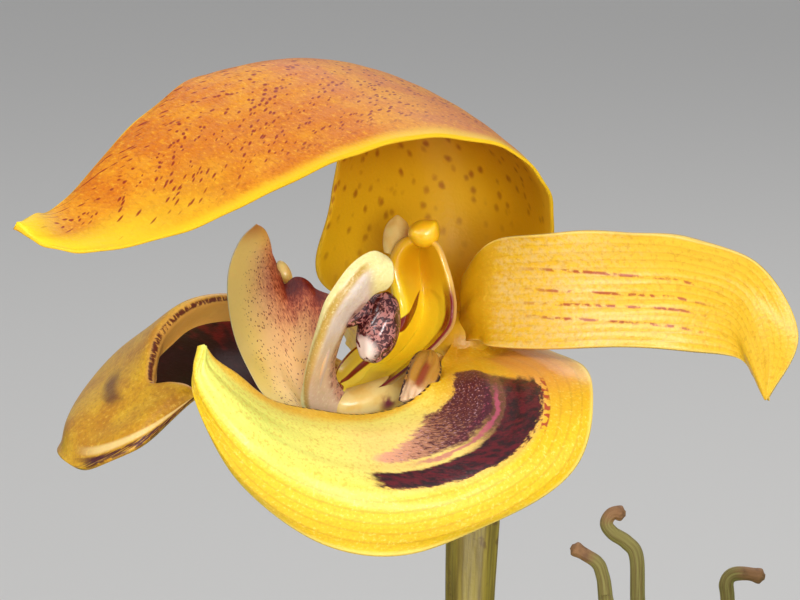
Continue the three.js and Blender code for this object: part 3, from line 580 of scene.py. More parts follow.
def dorsal_finish(p):
    m = flesh("dorsal_sepal_skin", 0.45, 0.05, 0.0008, Specular_IOR_Level=0.3)
    u, v, face = m.attr("along"), m.attr("across"), m.attr("face")
    flat = m.moved(m.flat(), 0.35, 1.1)
    patch = m.noise(0.45, 3, vector=m.flat(depth=3))
    size = m.step(0.3, 0.66, patch) * 0.18 + 0.17
    spots = m.fall(size * 0.55, size * 1.2, m.cells(1.0, m.scaled(flat, 1.45, 2.3)))
    fade = m.step(0.04, 0.14, u) * m.fall(0.84, 0.95, u) * m.fall(0.88, 0.96, v) * m.step(0.02, 0.06, v)
    clouds = m.noise(300, 3)
    skin = m.mix(p.outer_colour[:] + (1,), rgb(222, 142, 10), m.step(0.4, 0.66, clouds))
    skin = m.mix(skin, rgb(206, 104, 8), m.step(0.6, 1.0, (v * HOOD_VEINS).sine()) * 0.12)
    skin = grain_and_glints(m, skin, rgb(242, 178, 36), rgb(172, 78, 2))
    corner = m.step(0.62, 0.86, u) * m.step(0.6, 0.95, v)
    skin = m.mix(skin, rgb(240, 204, 30), m.step(0.8, 0.97, u).high(corner))
    skin = m.mix(skin, rgb(140, 26, 2), spots * fade * 0.95)
    edge = m.step(0.95, 0.99, v).high(m.fall(0.015, 0.035, v))
    skin = m.mix(skin, rgb(240, 190, 22), edge)
    under = m.mix(rgb(228, 178, 18), rgb(186, 112, 10), m.step(0.2, 0.4, u))
    under = m.mix(under, rgb(220, 156, 20), m.step(0.55, 0.75, u))
    blurred = m.fall(0.08, 0.4, m.cells(1.0, m.scaled(flat, 0.8, 1.0)))
    under = m.mix(under, rgb(136, 44, 10), blurred * m.step(0.12, 0.28, u) * m.fall(0.5, 0.75, u) * 0.7)
    under = m.mix(under, rgb(236, 190, 36), m.step(0.93, 0.97, v))
    sparkle(m, (v * HOOD_VEINS).sine() * 0.05 + clouds * 0.3)
    return m.feed(Base_Color=m.mix(skin, under, face), Roughness=0.36 + clouds * 0.2)


def sepal_near_finish():
    m = flesh("near_sepal_skin", 0.4, 0.1, 0.0012, 0.2, 0.2)
    u, v, face = m.attr("along"), m.attr("across"), m.attr("face")
    flat = m.flat()
    rough = m.noise(0.7, 3, 0.6, vector=m.flat(0.8, 2.2)) - 0.5
    fine = m.noise(2.6, 3, 0.65, vector=flat) - 0.5
    wander = rough * 0.09 + fine * 0.06
    # Pale in the middle and saturated yellow towards the outer margin: partly the blade's own colour, partly
    # a painted highlight on its bulging middle.
    skin = m.mix(rgb(240, 226, 110), rgb(240, 196, 18), m.step(0.36, 0.7, v + rough * 0.2))
    skin = m.mix(rgb(238, 182, 18), skin, m.step(0.28, 0.5, u + rough * 0.1))
    # Painted highlight: a pale lime band across the middle, towards the tip.
    skin = m.mix(skin, rgb(226, 232, 104), m.band(v, 0.36, 0.1, 0.25) * m.step(0.6, 0.8, u) * 0.75)
    lines = m.step(0.6, 1.0, ((v + fine * 0.01) * SEPAL_VEINS).sine()) * 0.5 * m.step(0.5, 0.66, v)
    skin = m.mix(skin, rgb(214, 160, 10), lines)
    rim_at = m.step(0.3, 0.7, u) * 0.08 + 0.014
    skin = m.mix(skin, rgb(240, 180, 20), m.fall(rim_at * 0.5, rim_at * 1.4, v + fine * 0.02) * 0.8)
    skin = grain_and_glints(m, skin, rgb(252, 232, 120), rgb(216, 160, 24), 4200)
    skin = m.mix(skin, rgb(250, 214, 96), m.step(0.965, 0.99, v))
    crest = m.step(0.213, 0.232, u - v * 0.09 + wander * 0.3)
    blush = m.band(u, 0.22, 0.04, 0.09) * m.band(v, 0.72, 0.1, 0.2)
    skin = m.mix(skin, rgb(224, 122, 84), blush * 0.45)
    outer = 0.635 - (u - 0.34).high(0) * 0.44
    halo = m.step(0.0, 0.14, v - 0.05) * m.fall(0.0, 0.07, v - outer) * crest * m.fall(0.56, 0.66, u)
    skin = m.mix(skin, rgb(236, 168, 120), halo * 0.35)
    inner = 0.115 + (u - 0.44).high(0) * 1.15
    low_half = m.step(0.0, 0.03, v - inner + wander) * m.fall(0.0, 0.025, v - 0.33 + wander * 0.7)
    low_half = low_half * crest * m.fall(0.575, 0.605, u + wander * 0.6)
    share = m.step(0.0, 0.3, 0.62 - u + (v - 0.12) * 0.3)
    speck = m.step(0.0, 0.16, m.noise(3.4, 4, 0.7, vector=flat) - 0.66 + share * 0.34)
    tint = m.mix(rgb(228, 150, 130), rgb(126, 44, 64), m.step(0.2, 0.8, share))
    skin = m.mix(skin, tint, low_half * 0.8)
    skin = m.mix(skin, rgb(72, 12, 30), low_half * speck * 0.92)
    glint = m.step(0.6, 0.68, m.noise(5.5, 2, vector=flat))
    skin = m.mix(skin, rgb(214, 168, 176), low_half * glint * 0.55)
    middle = m.band(v, 0.37, 0.06, 0.02) * crest * m.fall(0.38, 0.49, u + wander)
    skin = m.mix(skin, m.mix(rgb(150, 56, 84), rgb(70, 12, 30), speck), middle * 0.9)
    seam = m.band(v + wander * 0.6, 0.375, 0.005, 0.014) * m.band(u, 0.42, 0.09, 0.05)
    skin = m.mix(skin, rgb(188, 78, 108), seam * 0.7)
    arc_mask = m.step(0.0, 0.02, v - 0.41 + wander * 0.5) * m.fall(0.0, 0.02, v - outer + wander)
    arc_mask = arc_mask * crest * m.fall(0.605, 0.625, u + wander * 0.5)
    dark = m.mix(rgb(92, 8, 22), rgb(38, 5, 12), m.step(0.4, 0.6, m.noise(1.4, 4, 0.7, vector=flat)))
    skin = m.mix(skin, dark, arc_mask)
    dots = m.band(u, 0.335, 0.045, 0.02) * m.band(v, 0.675, 0.014, 0.012)
    dots = dots * m.step(0.48, 0.56, m.noise(1.6, 1, vector=flat))
    skin = m.mix(skin, rgb(170, 34, 30), dots * 0.9)
    stitch = m.fall(0.004, 0.012, v) * m.step(0.2, 0.24, u) * m.fall(0.78, 0.86, u)
    stitch = stitch * m.step(0.46, 0.52, m.noise(2.4, 1, vector=m.flat(1, 0)))
    skin = m.mix(skin, rgb(40, 12, 8), stitch)
    back = m.mix(rgb(226, 176, 40), rgb(206, 146, 26), m.noise(500, 3))
    sparkle(m, (v * SEPAL_VEINS).sine() * 0.08 + rough * 0.5)
    return m.feed(Base_Color=m.mix(back, skin, face), Roughness=0.34 + m.noise(700, 3) * 0.2)


def sepal_far_finish():
    m = flesh("far_sepal_skin", 0.4, 0.08, 0.0012, 0.15, 0.25)
    u, v, face = m.attr("along"), m.attr("across"), m.attr("face")
    flat = m.flat()
    rough = m.noise(0.9, 3, vector=flat) - 0.5
    gold = m.mix(rgb(218, 166, 20), rgb(190, 128, 12), m.step(0.35, 0.7, m.noise(350, 3)))
    gold = grain_and_glints(m, gold, rgb(240, 196, 70), rgb(160, 100, 14))
    # Painted shade: a dark line in the valley of the fold on the outer face, near the tip.
    crease_shade = m.band(v + rough * 0.03, 0.5, 0.008, 0.045) * m.band(u, 0.7, 0.03, 0.05)
    gold = m.mix(gold, rgb(96, 44, 8), crease_shade * 0.8)
    ridge = m.band(v, 0.84, 0.02, 0.04) * m.step(0.78, 0.86, u)
    gold = m.mix(gold, rgb(246, 214, 140), ridge * 0.8)
    stain = m.step(0.89, 0.92, v + rough * 0.03) * m.step(0.78, 0.84, u)
    gold = m.mix(gold, rgb(76, 10, 18), stain * m.step(0.36, 0.52, m.noise(1.3, 3, vector=flat)))
    # The inner face's purple deepens to near black across it: its own purple, darkened further by painted
    # shade where the cupped face lies in shadow.
    dark = m.mix(rgb(150, 30, 30), rgb(58, 6, 12), m.step(0.4, 0.66, v + rough * 0.6))
    cream = rgb(208, 152, 66)
    dark = m.mix(cream, dark, m.step(0.325, 0.36, v + rough * 0.05))
    dark = m.mix(dark, rgb(214, 160, 50), m.step(0.74, 0.84, u))
    skin = m.mix(gold, dark, face)
    skin = m.mix(cream, skin, m.step(0.24, 0.3, v + rough * 0.02))
    grain = m.noise(4.5, 2, vector=flat) - 0.5
    stitch = m.band(v + grain * 0.02, 0.25, 0.008, 0.014) * m.step(0.4, 0.52, m.noise(3.6, 2, vector=flat))
    skin = m.mix(skin, rgb(92, 34, 12), stitch * m.step(0.25, 0.3, u) * m.fall(0.72, 0.76, u))
    sparkle(m, rough * 0.6)
    return m.feed(Base_Color=skin)


def ear_finish():
    m = flesh("ear_skin", 0.4, 0.1)
    u, v = m.attr("along"), m.attr("across")
    rough = m.noise(1300, 3) - 0.5
    skin = m.mix(rgb(216, 178, 140), rgb(178, 124, 40), m.step(0.15, 0.45, u + rough * 0.4 + v * 0.1))
    core = m.band(v, 0.56, 0.04, 0.16) * m.band(u + rough * 0.2, 0.45, 0.12, 0.16)
    skin = m.mix(skin, rgb(128, 30, 16), core * 0.85)
    dots = m.step(0.42, 0.52, m.noise(3200, 1)) * m.fall(0.03, 0.09, v.low(1 - v))
    skin = m.mix(skin, rgb(48, 12, 10), dots)
    sparkle(m, rough * 0.5)
    return m.feed(Base_Color=skin)


def petal_finish(p):
    m = flesh("petal_skin", 0.38, 0.1, 0.0012, 0.1, 0.2)
    u, v = m.attr("along"), m.attr("across")
    flat = m.flat()
    rough = m.noise(0.5, 3, vector=flat) - 0.5
    streak = m.noise(1.0, 3, vector=m.flat(0.3, 2.2)) - 0.5
    skin = m.mix(rgb(188, 142, 8), p.petal_colour[:] + (1,), m.step(0.08, 0.42, u))
    veins = m.step(0.5, 1.0, ((v + rough * 0.012) * PETAL_VEINS).sine())
    skin = m.mix(skin, rgb(184, 132, 20), veins * 0.22)
    sheen = m.step(0.22, 0.27, u + streak * 0.12) * m.fall(0.42, 0.58, u + streak * 0.3)
    pale = m.noise(2.4, 3, 0.7, vector=flat)
    skin = m.mix(skin, rgb(214, 182, 120), sheen * m.step(0.36, 0.66, pale + streak * 0.5) * 0.6)
    lines = 0
    for at, slope in ((0.34, 0.4), (0.515, 0.33), (0.63, 0.27), (0.76, 0.4)):
        lines = m.band(v - (u - 0.44) * slope, at, 0.004, 0.018) + lines
    dots = m.step(0.42, 0.58, m.noise(1.4, 3, vector=m.vector(m.attr("run"), v * 9, 0)))
    lines = lines * dots * m.step(0.27, 0.4, u) * m.fall(0.6, 0.72, u)
    skin = grain_and_glints(m, skin, rgb(228, 184, 52), rgb(190, 138, 16))
    skin = m.mix(skin, rgb(186, 138, 8), m.fall(0.1, 0.28, u) * 0.85)
    skin = m.mix(skin, rgb(160, 56, 14), lines * 0.9)
    skin = m.mix(skin, rgb(226, 196, 104), m.fall(0.0, 0.025, v.low(1 - v)) * 0.5)
    sparkle(m, veins * 0.12 + rough * 0.4)
    return m.feed(Base_Color=skin, Roughness=0.3 + m.noise(600, 3) * 0.2)


def column_finish():
    m = flesh("column_skin", 0.2, 0.15, coat=0.6, coat_rough=0.06)
    u, v, face = m.attr("along"), m.attr("across"), m.attr("face")
    rough = m.noise(1100, 3) - 0.5
    skin = m.mix(rgb(222, 166, 18), rgb(246, 212, 40), m.step(0.18, 0.36, u + v * 0.08 + rough * 0.05))
    skin = m.mix(skin, rgb(246, 216, 90), m.step(0.6, 0.75, u) * 0.5)
    near_line = m.fall(0.055, 0.085, v + rough * 0.02) * m.step(0.2, 0.3, u)
    wedge = m.step(0.0, 0.02, 0.012 + (u - 0.25) * 0.45 - abs(v - 0.47 - (u - 0.27) * 1.5))
    line = wedge * m.step(0.24, 0.26, u) * m.fall(0.46, 0.5, u)
    low_lines = m.band(v, 0.645, 0.02, 0.02).high(m.band(v, 0.96, 0.02, 0.02)) * m.step(0.56, 0.62, u)
    line = line.high(low_lines).high(m.step(0.95, 0.97, u))
    skin = m.mix(skin, rgb(118, 14, 12), line)
    back = m.mix(rgb(238, 190, 40), rgb(232, 196, 120), m.step(0.42, 0.62, u))
    # Painted highlight: a pale pinkish edge along the near rim on the back face.
    back = m.mix(back, rgb(240, 200, 150), m.fall(0.02, 0.08, v) * 0.5)
    sparkle(m, rough * 0.5, 0.12)
    skin = m.mix(back, skin, face)
    return m.feed(Base_Color=m.mix(skin, rgb(118, 12, 10), near_line * (0.25 + face).low(1)))


def foot_finish():
    m = flesh("column_foot_skin", 0.35, 0.12, coat=0.3)
    rough = m.noise(900, 3) - 0.5
    skin = m.mix(rgb(240, 208, 128), rgb(232, 184, 84), m.step(0.35, 0.7, rough + 0.5))
    spot = m.near((-0.9, -4.6, -7.1), 0.25, 0.7) * m.step(-0.12, 0.1, rough)
    skin = m.mix(skin, rgb(132, 46, 66), spot)
    sparkle(m, rough * 0.5, 0.2)
    return m.feed(Base_Color=skin)


def cap_finish():
    m = flesh("cap_skin", 0.3, 0.2, coat=0.4, coat_rough=0.12)
    sparkle(m, m.noise(1500, 3), 0.15)
    return m.feed(Base_Color=m.mix(rgb(252, 206, 36), rgb(240, 170, 14), m.noise(900, 2)))


def lip_finish():
    m = flesh("lip_skin", 0.28, 0.1, coat=0.35, coat_rough=0.15)
    u, v, face = m.attr("along"), m.attr("across"), m.attr("face")
    flat = m.flat()
    rough = m.noise(700, 3) - 0.5
    skin = m.mix(rgb(238, 200, 100), rgb(238, 186, 120), m.step(0.1, 0.34, v + rough * 0.12))
    skin = m.mix(skin, rgb(232, 206, 130), m.step(0.6, 0.95, u) * 0.6)
    flush = m.band(v, 0.66, 0.2, 0.36) * m.fall(0.12, 0.6, u + rough * 0.3)
    broken = m.step(0.38, 0.58, m.noise(3.4, 3, 0.7, vector=flat))
    skin = m.mix(skin, rgb(196, 62, 44), flush * 0.8)
    skin = m.mix(skin, rgb(120, 12, 14), flush * broken * 0.75)
    heart = m.band(v, 0.7, 0.16, 0.26) * m.fall(0.04, 0.26, u + rough * 0.3)
    skin = m.mix(skin, rgb(88, 8, 14), heart * 0.9)
    size = 0.12 + flush * 0.12 + m.noise(420, 2) * 0.14
    freckle = m.fall(size, size + 0.1, m.cells(1.0, m.scaled(flat, 3.9, 3.9)))
    freckle = freckle * m.step(0.08, 0.2, v) * m.step(0.06, 0.2, u + v * 0.5)
    skin = m.mix(skin, rgb(124, 36, 16), freckle * 0.85)
    top = m.step(-0.06, 0.14, 0.17 - u - v * 0.7 + rough * 0.06)
    skin = m.mix(skin, rgb(190, 116, 14), top * 0.9)
    skin = m.mix(skin, rgb(246, 232, 190), m.fall(0.0, 0.015, v) * 0.8)
    sparkle(m, rough * 0.5, 0.3)
    return m.feed(Base_Color=m.mix(rgb(222, 192, 180), skin, face))


def lip_side_finish():
    m = flesh("lip_side_skin", 0.35, 0.1, coat=0.2)
    u, v = m.attr("along"), m.attr("across")
    rough = m.noise(900, 3) - 0.5
    cream = rgb(236, 220, 150)
    # Painted shade: the darker golden band between the cream edge strip and the lavender-white lies in the
    # crease.
    skin = m.mix(cream, rgb(180, 142, 52), m.step(0.16, 0.23, v + rough * 0.03) * m.step(0.1, 0.22, u))
    skin = m.mix(skin, rgb(226, 208, 196), m.step(0.28, 0.36, v + rough * 0.03) * m.step(0.1, 0.24, u))
    low = m.step(0.5, 0.72, u + rough * 0.1) * m.step(0.2, 0.4, v)
    skin = m.mix(skin, rgb(224, 182, 140), low * 0.8)
    inner = m.step(0.7, 0.92, v + rough * 0.1) * m.step(0.16, 0.3, u)
    skin = m.mix(skin, rgb(176, 92, 84), inner * 0.7)
    dots = m.step(0.5, 0.58, m.noise(3000, 2)) * m.step(0.76, 0.9, v + rough * 0.1) * m.step(0.2, 0.3, u)
    skin = m.mix(skin, rgb(96, 16, 20), dots * 0.9)
    skin = grain_and_glints(m, skin, rgb(246, 234, 190), rgb(212, 184, 128), 3800)
    sparkle(m, rough * 0.5, 0.3)
    return m.feed(Base_Color=skin)


def callus_finish():
    m = flesh("callus_skin", 0.22, 0.1, 0.0008, 0.5, 0.08)
    mottle = m.step(0.44, 0.5, m.noise(2500, 4, 0.6, distort=1.2))
    # Painted highlight: a pale glossy patch on the knob's lower front, with dark blots through it.
    pale = m.near((-2.6, -9.6, -3.4), 0.6, 0.7)
    blot = m.step(0.56, 0.62, m.noise(1500, 2))
    skin = m.mix(rgb(176, 112, 104), rgb(64, 6, 16), mottle)
    skin = m.mix(skin, m.mix(rgb(232, 212, 204), rgb(96, 18, 34), blot), pale)
    sparkle(m, mottle * 0.3, 0.12)
    return m.feed(Base_Color=skin)


def stem_finish(name, light, dark, scale=900):
    m = Mat(name, Roughness=0.45)
    streak = m.streaks(0.15, 14)
    skin = m.mix(light, dark, m.step(0.35, 0.65, streak))
    skin = m.mix(skin, rgb(90, 60, 34), m.step(0.62, 0.72, m.noise(scale, 3)) * 0.6)
    m.feed(Normal=m.bump(streak * 0.6 + m.noise(3000, 2) * 0.3, 0.35, 0.0003))
    return m.feed(Base_Color=skin, Roughness=0.35 + streak * 0.25)


def seat_finish():
    m = flesh("seat_skin", 0.4, 0.08)
    rough = m.noise(500, 3)
    sparkle(m, rough * 0.6)
    return m.feed(Base_Color=m.mix(rgb(226, 178, 22), rgb(196, 140, 10), m.step(0.35, 0.7, rough)))


def spent_finish():
    m = Mat("spent_scape_skin", Roughness=0.6)
    u = m.attr("along")
    streak = m.streaks(0.2, 12)
    skin = m.mix(rgb(178, 166, 92), rgb(146, 126, 66), m.step(0.35, 0.65, streak))
    dry = m.step(0.8, 0.94, u + streak * 0.1)
    skin = m.mix(skin, rgb(176, 128, 84), dry)
    skin = m.mix(skin, rgb(110, 70, 44), dry * m.step(0.5, 0.7, m.noise(900, 3)) * 0.6)
    m.feed(Normal=m.bump(streak + m.noise(2500, 2) * 0.3, 0.5, 0.0004))
    return m.feed(Base_Color=skin)


def bulb_finish(p):
    m = Mat("pseudobulb_skin", Roughness=0.4, Coat_Weight=0.1, Coat_Roughness=0.3)
    u = m.attr("along")
    streak = m.streaks(0.12, 16)
    skin = m.mix(p.bulb_colour[:] + (1,), rgb(146, 150, 70), m.step(0.3, 0.7, streak))
    skin = m.mix(skin, rgb(150, 118, 62), m.fall(0.02, 0.16, u + streak * 0.1))
    skin = m.mix(skin, rgb(104, 74, 40), m.step(0.6, 0.7, m.noise(500, 3)) * 0.5)
    m.feed(Normal=m.bump(streak * 0.7 + m.noise(2200, 2) * 0.25, 0.4, 0.0005))
    return m.feed(Base_Color=skin, Roughness=0.35 + streak * 0.25)


def leaf_finish(p):
    m = flesh("leaf_skin", 0.38, 0.05, coat=0.15, coat_rough=0.25)
    u, v, face = m.attr("along"), m.attr("across"), m.attr("face")
    blotch = m.noise(60, 4)
    top = m.mix(p.leaf_colour[:] + (1,), rgb(104, 140, 52), m.step(0.35, 0.7, blotch))
    veins = m.step(0.8, 1.0, (v * LEAF_VEINS).sine()) * 0.25
    top = m.mix(top, rgb(132, 158, 78), veins)
    rib = m.band(v, 0.5, 0.012, 0.03)
    top = m.mix(top, rgb(150, 172, 88), rib * 0.7)
    low = m.mix(rgb(122, 150, 84), rgb(146, 168, 102), m.step(0.3, 0.7, blotch))
    low = m.mix(low, rgb(166, 180, 120), rib)
    both = m.mix(low, top, face)
    both = m.mix(both, rgb(140, 146, 70), m.fall(0.06, 0.2, u))
    both = m.mix(both, rgb(150, 120, 60), m.step(0.985, 1.0, u))
    m.feed(Normal=m.bump((v * LEAF_VEINS).sine() * 0.3 + m.noise(1500, 3) * 0.5, 0.3, 0.0003))
    return m.feed(Base_Color=both, Roughness=0.32 + blotch * 0.2)


def bark_finish():
    m = Mat("bark_chunks", Roughness=0.9)
    tone = m.noise(90, 3)
    grain = m.noise(900, 5, 0.65, distort=0.8)
    skin = m.mix(rgb(74, 46, 30), rgb(142, 98, 66), m.step(0.3, 0.72, tone))
    skin = m.mix(skin, rgb(44, 28, 20), m.step(0.5, 0.7, grain) * 0.7)
    m.feed(Normal=m.bump(grain, 0.8, 0.0008))
    return m.feed(Base_Color=skin)


def chip_finish():
    m = Mat("bark_chips_skin", Roughness=0.85)
    tone = m.attr("tone")
    fibre = m.noise(1.0, 5, 0.65, vector=m.flat(0.35, 1.7, tone * 60))
    skin = m.mix(rgb(92, 58, 38), rgb(160, 116, 80), tone)
    skin = m.mix(skin, rgb(52, 32, 22), m.step(0.42, 0.62, fibre) * 0.75)
    skin = m.mix(skin, rgb(186, 150, 112), m.step(0.64, 0.72, fibre) * 0.5)
    m.feed(Normal=m.bump(fibre + m.noise(2400, 3) * 0.25, 0.9, 0.0006))
    return m.feed(Base_Color=skin)


def clay_finish(p):
    m = Mat("clay", Roughness=0.85)
    tone = m.noise(22, 4)
    speck = m.noise(1400, 3)
    height = m.node("ShaderNodeSeparateXYZ", None, {0: m.coords}, out="Z")
    skin = m.mix(p.clay_colour[:] + (1,), rgb(206, 128, 88), m.step(0.35, 0.75, tone))
    skin = m.mix(skin, rgb(222, 190, 166), m.step(0.52, 0.74, m.noise(38, 5, 0.6)) * 0.5)
    skin = m.mix(skin, rgb(150, 88, 58), m.fall(0.0, 0.02, height) * 0.5)
    skin = m.mix(skin, rgb(160, 92, 62), m.step(0.55, 0.7, speck) * 0.35)
    m.feed(Normal=m.bump(speck * 0.6 + (height * 5200).sine() * 0.12, 0.35, 0.0004))
    return m.feed(Base_Color=skin, Roughness=0.72 + tone * 0.2)


# Shapes of single organs

def stepped(t, at, length, base, lip):
    """Sheath profile: a step that opens to lip over length, then ends sharply."""
    d = (t - at) / length
    return np.where((d > 0) & (d < 1), base + lip * d * d, 0)


def leaf_grid(shoot, top, rows, cols):
    """Leaf: its midrib turns from upright to its arch, its width opens from the stalk to an
    oblong blade, keeled and softly waved."""
    _, _, _, _, lx, ly, heading, length, half, rise0, rise1, bend = shoot
    s = np.linspace(0, 1, rows)
    rise = np.radians(rise0 + (rise1 - rise0) * s ** 1.4 + (88 - rise0) * np.exp(-16 * s))
    head = np.radians(heading + bend * s)
    d = np.stack([np.cos(rise) * np.cos(head), np.cos(rise) * np.sin(head), np.sin(rise)], -1)
    lean = np.array([lx, ly, 30.0])
    start = np.array(top) + lean / np.linalg.norm(lean) * 0.5
    mid = start + np.concatenate([[[0, 0, 0]], np.cumsum((d[1:] + d[:-1]) / 2, axis=0)]) * length / (rows - 1)
    side = np.stack([-np.sin(head), np.cos(head), np.zeros(rows)], -1)
    up = np.cross(d, side)
    stalk = 0.12
    b = np.clip((s - stalk) / (1 - stalk), 0, 1)
    w = (1.5 + 0.3 * s) * (1 - b) + half * np.maximum(np.sin(math.pi * b ** 0.8), 0) ** 0.65
    w[-1] = 0
    q = np.linspace(-1, 1, cols)
    rise_q = w[:, None] * 0.24 * q ** 2 + 0.35 * np.sin(s[:, None] * 19 + q * 2) * q ** 2
    rise_q = rise_q - 0.35 * np.exp(-(q / 0.06) ** 2) * smooth(0.1, 0.3, s)[:, None]
    rise_q[-1] = rise_q[-1].mean()
    return mid[:, None] + side[:, None] * (w[:, None] * q)[..., None] + up[:, None] * rise_q[..., None]


def bark_chips(seed, count, reach, height):
    """Irregular split blocks, strewn flat: three rings of four corners, with each corner moved
    by chance. Returns vertices, faces and attributes: run and reach in mm, and a tone."""
    rng = np.random.default_rng(seed)
    corners = ((-1, -1), (1, -1), (1, 1), (-1, 1))
    u = np.array([[x, y, z] for x in (-1, 0, 1) for y, z in corners], float)
    sides = [[4 * i + k, 4 * i + (k + 1) % 4, 4 * i + 4 + (k + 1) % 4, 4 * i + 4 + k]
             for i in (0, 1) for k in range(4)]
    block = np.array(sides + [[0, 3, 2, 1], [8, 9, 10, 11]])
    r = reach * np.sqrt(rng.uniform(0, 1, count))
    a = rng.uniform(0, 2 * math.pi, count)
    spans = ((2.4, 6.2), (1.3, 3.2), (0.8, 2.1))
    size = np.stack([rng.uniform(low, high, count) for low, high in spans], -1)
    jog = rng.uniform(-0.22, 0.22, (count, 12, 3))
    own = (u[None] + jog) * size[:, None] * rng.uniform(0.75, 1.0, (count, 12, 3))
    turn = rng.uniform(0, 2 * math.pi, count)
    tip = rng.normal(0, 0.35, (count, 2))
    c, s = np.cos(turn)[:, None], np.sin(turn)[:, None]
    x, y, z = own[..., 0], own[..., 1], own[..., 2]
    z = z + x * tip[:, :1] + y * tip[:, 1:]
    x, y = c * x - s * y, s * x + c * y
    at = np.stack([r * np.cos(a), r * np.sin(a), height + rng.uniform(-1.5, 1.6, count)], -1)
    verts = np.stack([x, y, z], -1) + at[:, None]
    faces = (block[None] + 12 * np.arange(count)[:, None, None]).reshape(-1, 4)
    data = {"run": own[..., 0].ravel(), "reach": (own[..., 1] + own[..., 2]).ravel(),
            "tone": np.repeat(rng.uniform(0, 1, count), 12)}
    return verts.reshape(-1, 3), faces, data


def egg_grid(centre, radii, turn, rows, sides, lift=None):
    """Rings of an ellipsoid from its top pole to its bottom, turned about Y by turn degrees.
    lift adds to the radius, as a function of the unit direction."""
    gap = 0.02
    a = np.linspace(gap, math.pi - gap, rows)[:, None]
    b = np.linspace(0, 2 * math.pi, sides, endpoint=False)[None]
    d = np.stack([np.sin(a) * np.cos(b), np.sin(a) * np.sin(b), np.cos(a) * np.ones_like(b)], -1)
    p = d * np.array(radii)
    if lift is not None:
        p = p + d * lift(d)[..., None]
    c, s = math.cos(math.radians(turn)), math.sin(math.radians(turn))
    p = np.stack([c * p[..., 0] + s * p[..., 2], p[..., 1], c * p[..., 2] - s * p[..., 0]], -1)
    return p + np.array(centre)


def egg(name, grid, material, nodes=()):
    """Closed rounded body from a grid of rings in the flower's layout."""
    verts, faces = tube_mesh(grid)
    rows, sides = grid.shape[:2]
    along = np.concatenate([np.repeat(np.linspace(0, 1, rows), sides), [0, 1]])
    obj = make(name, placed(verts), faces, material, nodes, {"along": along})
    weld(obj)
    return obj


def rounded(profile, radius, steps=6):
    """Profile with its inner corners rounded by short quadratic arcs that start radius away."""
    p = [np.array(c, float) for c in profile]
    out = [p[0]]
    for a, b, c in zip(p, p[1:], p[2:]):
        cut = min(radius, 0.45 * np.linalg.norm(a - b), 0.45 * np.linalg.norm(c - b))
        lead = b + (a - b) / np.linalg.norm(a - b) * cut
        tail = b + (c - b) / np.linalg.norm(c - b) * cut
        t = np.linspace(0, 1, steps)[:, None]
        out.extend((1 - t) ** 2 * lead + 2 * t * (1 - t) * b + t * t * tail)
    return np.array(out + [p[-1]])


def revolved(radius, height, sides):
    """Rings about Z from their radii and heights, as a grid."""
    a = np.linspace(0, 2 * math.pi, sides, endpoint=False)
    r = radius[:, None]
    return np.stack([r * np.cos(a), r * np.sin(a), height[:, None] * np.ones(sides)], -1)


def turned(name, profile, sides, material, slot, nodes):
    """Closed body of revolution about Z: rings of the profile's radii and heights, whose first and
    last points lie on the axis. Long straight runs are split, and the wall carries faint rings."""
    run = np.concatenate([[0], np.cumsum(np.linalg.norm(np.diff(profile, axis=0), axis=1))])
    at = np.unique(np.concatenate([run, np.arange(2.0, run[-1], 2.0)]))
    r, z = (np.interp(at, run, values)[1:-1] for values in profile.T)
    low, high, inner, depth, pitch = 4, 93, 37, 0.06, 2.1
    wall = (z > low) & (z < high) & (r > inner)
    verts, faces = tube_mesh(revolved(r + wall * depth * np.sin(z * pitch), z, sides))
    obj = make(name, verts, faces, material, nodes)
    weld(obj)
    return obj


def drill(obj, places, radius, reach):
    """Round holes through a body along Z at places of radius and angle, cut by boolean difference."""
    t = np.linspace(-reach, reach, 2)
    for r, a in places:
        path = np.stack([r * math.cos(a) * np.ones(2), r * math.sin(a) * np.ones(2), t], -1)
        verts, faces = tube_mesh(tube_points(path, radius * np.ones(2), 48))
        mesh = bpy.data.meshes.new("drill")
        mesh.from_pydata((verts * MM).tolist(), [], [tuple(f) for f in faces])
        cutter = bpy.data.objects.new("drill", mesh)
        bpy.context.scene.collection.objects.link(cutter)
        weld(cutter)
        cut = obj.modifiers.new("hole", "BOOLEAN")
        cut.operation = "DIFFERENCE"
        cut.solver = "EXACT"
        cut.object = cutter
        with bpy.context.temp_override(object=obj, active_object=obj):
            bpy.ops.object.modifier_apply(modifier=cut.name)
        bpy.data.objects.remove(cutter)


# What a user can change

def colour(name, description, value):
    """A colour that a user can change."""
    return FloatVectorProperty(name=name, description=description, size=3, subtype="COLOR",
                               default=value[:3], min=0, max=1)


class FlowerSettings(bpy.types.PropertyGroup):
    outer_colour: colour("Hood", "Outer face of the dorsal sepal", rgb(208, 116, 4))
    petal_colour: colour("Petals", "Ground colour of the two petals", rgb(228, 180, 34))
    thickness: FloatProperty(name="Organ thickness", description="Thickness of a sepal at its middle",
                             default=0.0007, min=0.0003, max=0.0009, unit="LENGTH")


class PlantSettings(bpy.types.PropertyGroup):
    leaf_colour: colour("Leaves", "Upper face of the leaves", rgb(74, 112, 38))
    bulb_colour: colour("Pseudobulbs", "Skin of the pseudobulbs", rgb(112, 132, 54))
    leaf_thickness: FloatProperty(name="Leaf thickness", description="Thickness at the midrib",
                                  default=0.001, min=0.0005, max=0.0012, unit="LENGTH")


class PotSettings(bpy.types.PropertyGroup):
    clay_colour: colour("Clay", "Ground colour of the terracotta", rgb(186, 104, 66))
    chips: IntProperty(name="Bark chips", description="Loose chips strewn over the bark bed",
                       default=700, min=100, max=1200)


class StageSettings(bpy.types.PropertyGroup):
    floor_colour: colour("Floor", "Colour of the plain floor", (0.78, 0.77, 0.75))
    floor_size: FloatProperty(name="Floor size", description="Side of the square floor", default=60.0,
                              min=2.0, unit="LENGTH")
    light: FloatProperty(name="Light", description="Strength of the key light", default=6.5, min=0.0,
                         unit="POWER")


# Operators, one for each piece or group of like pieces

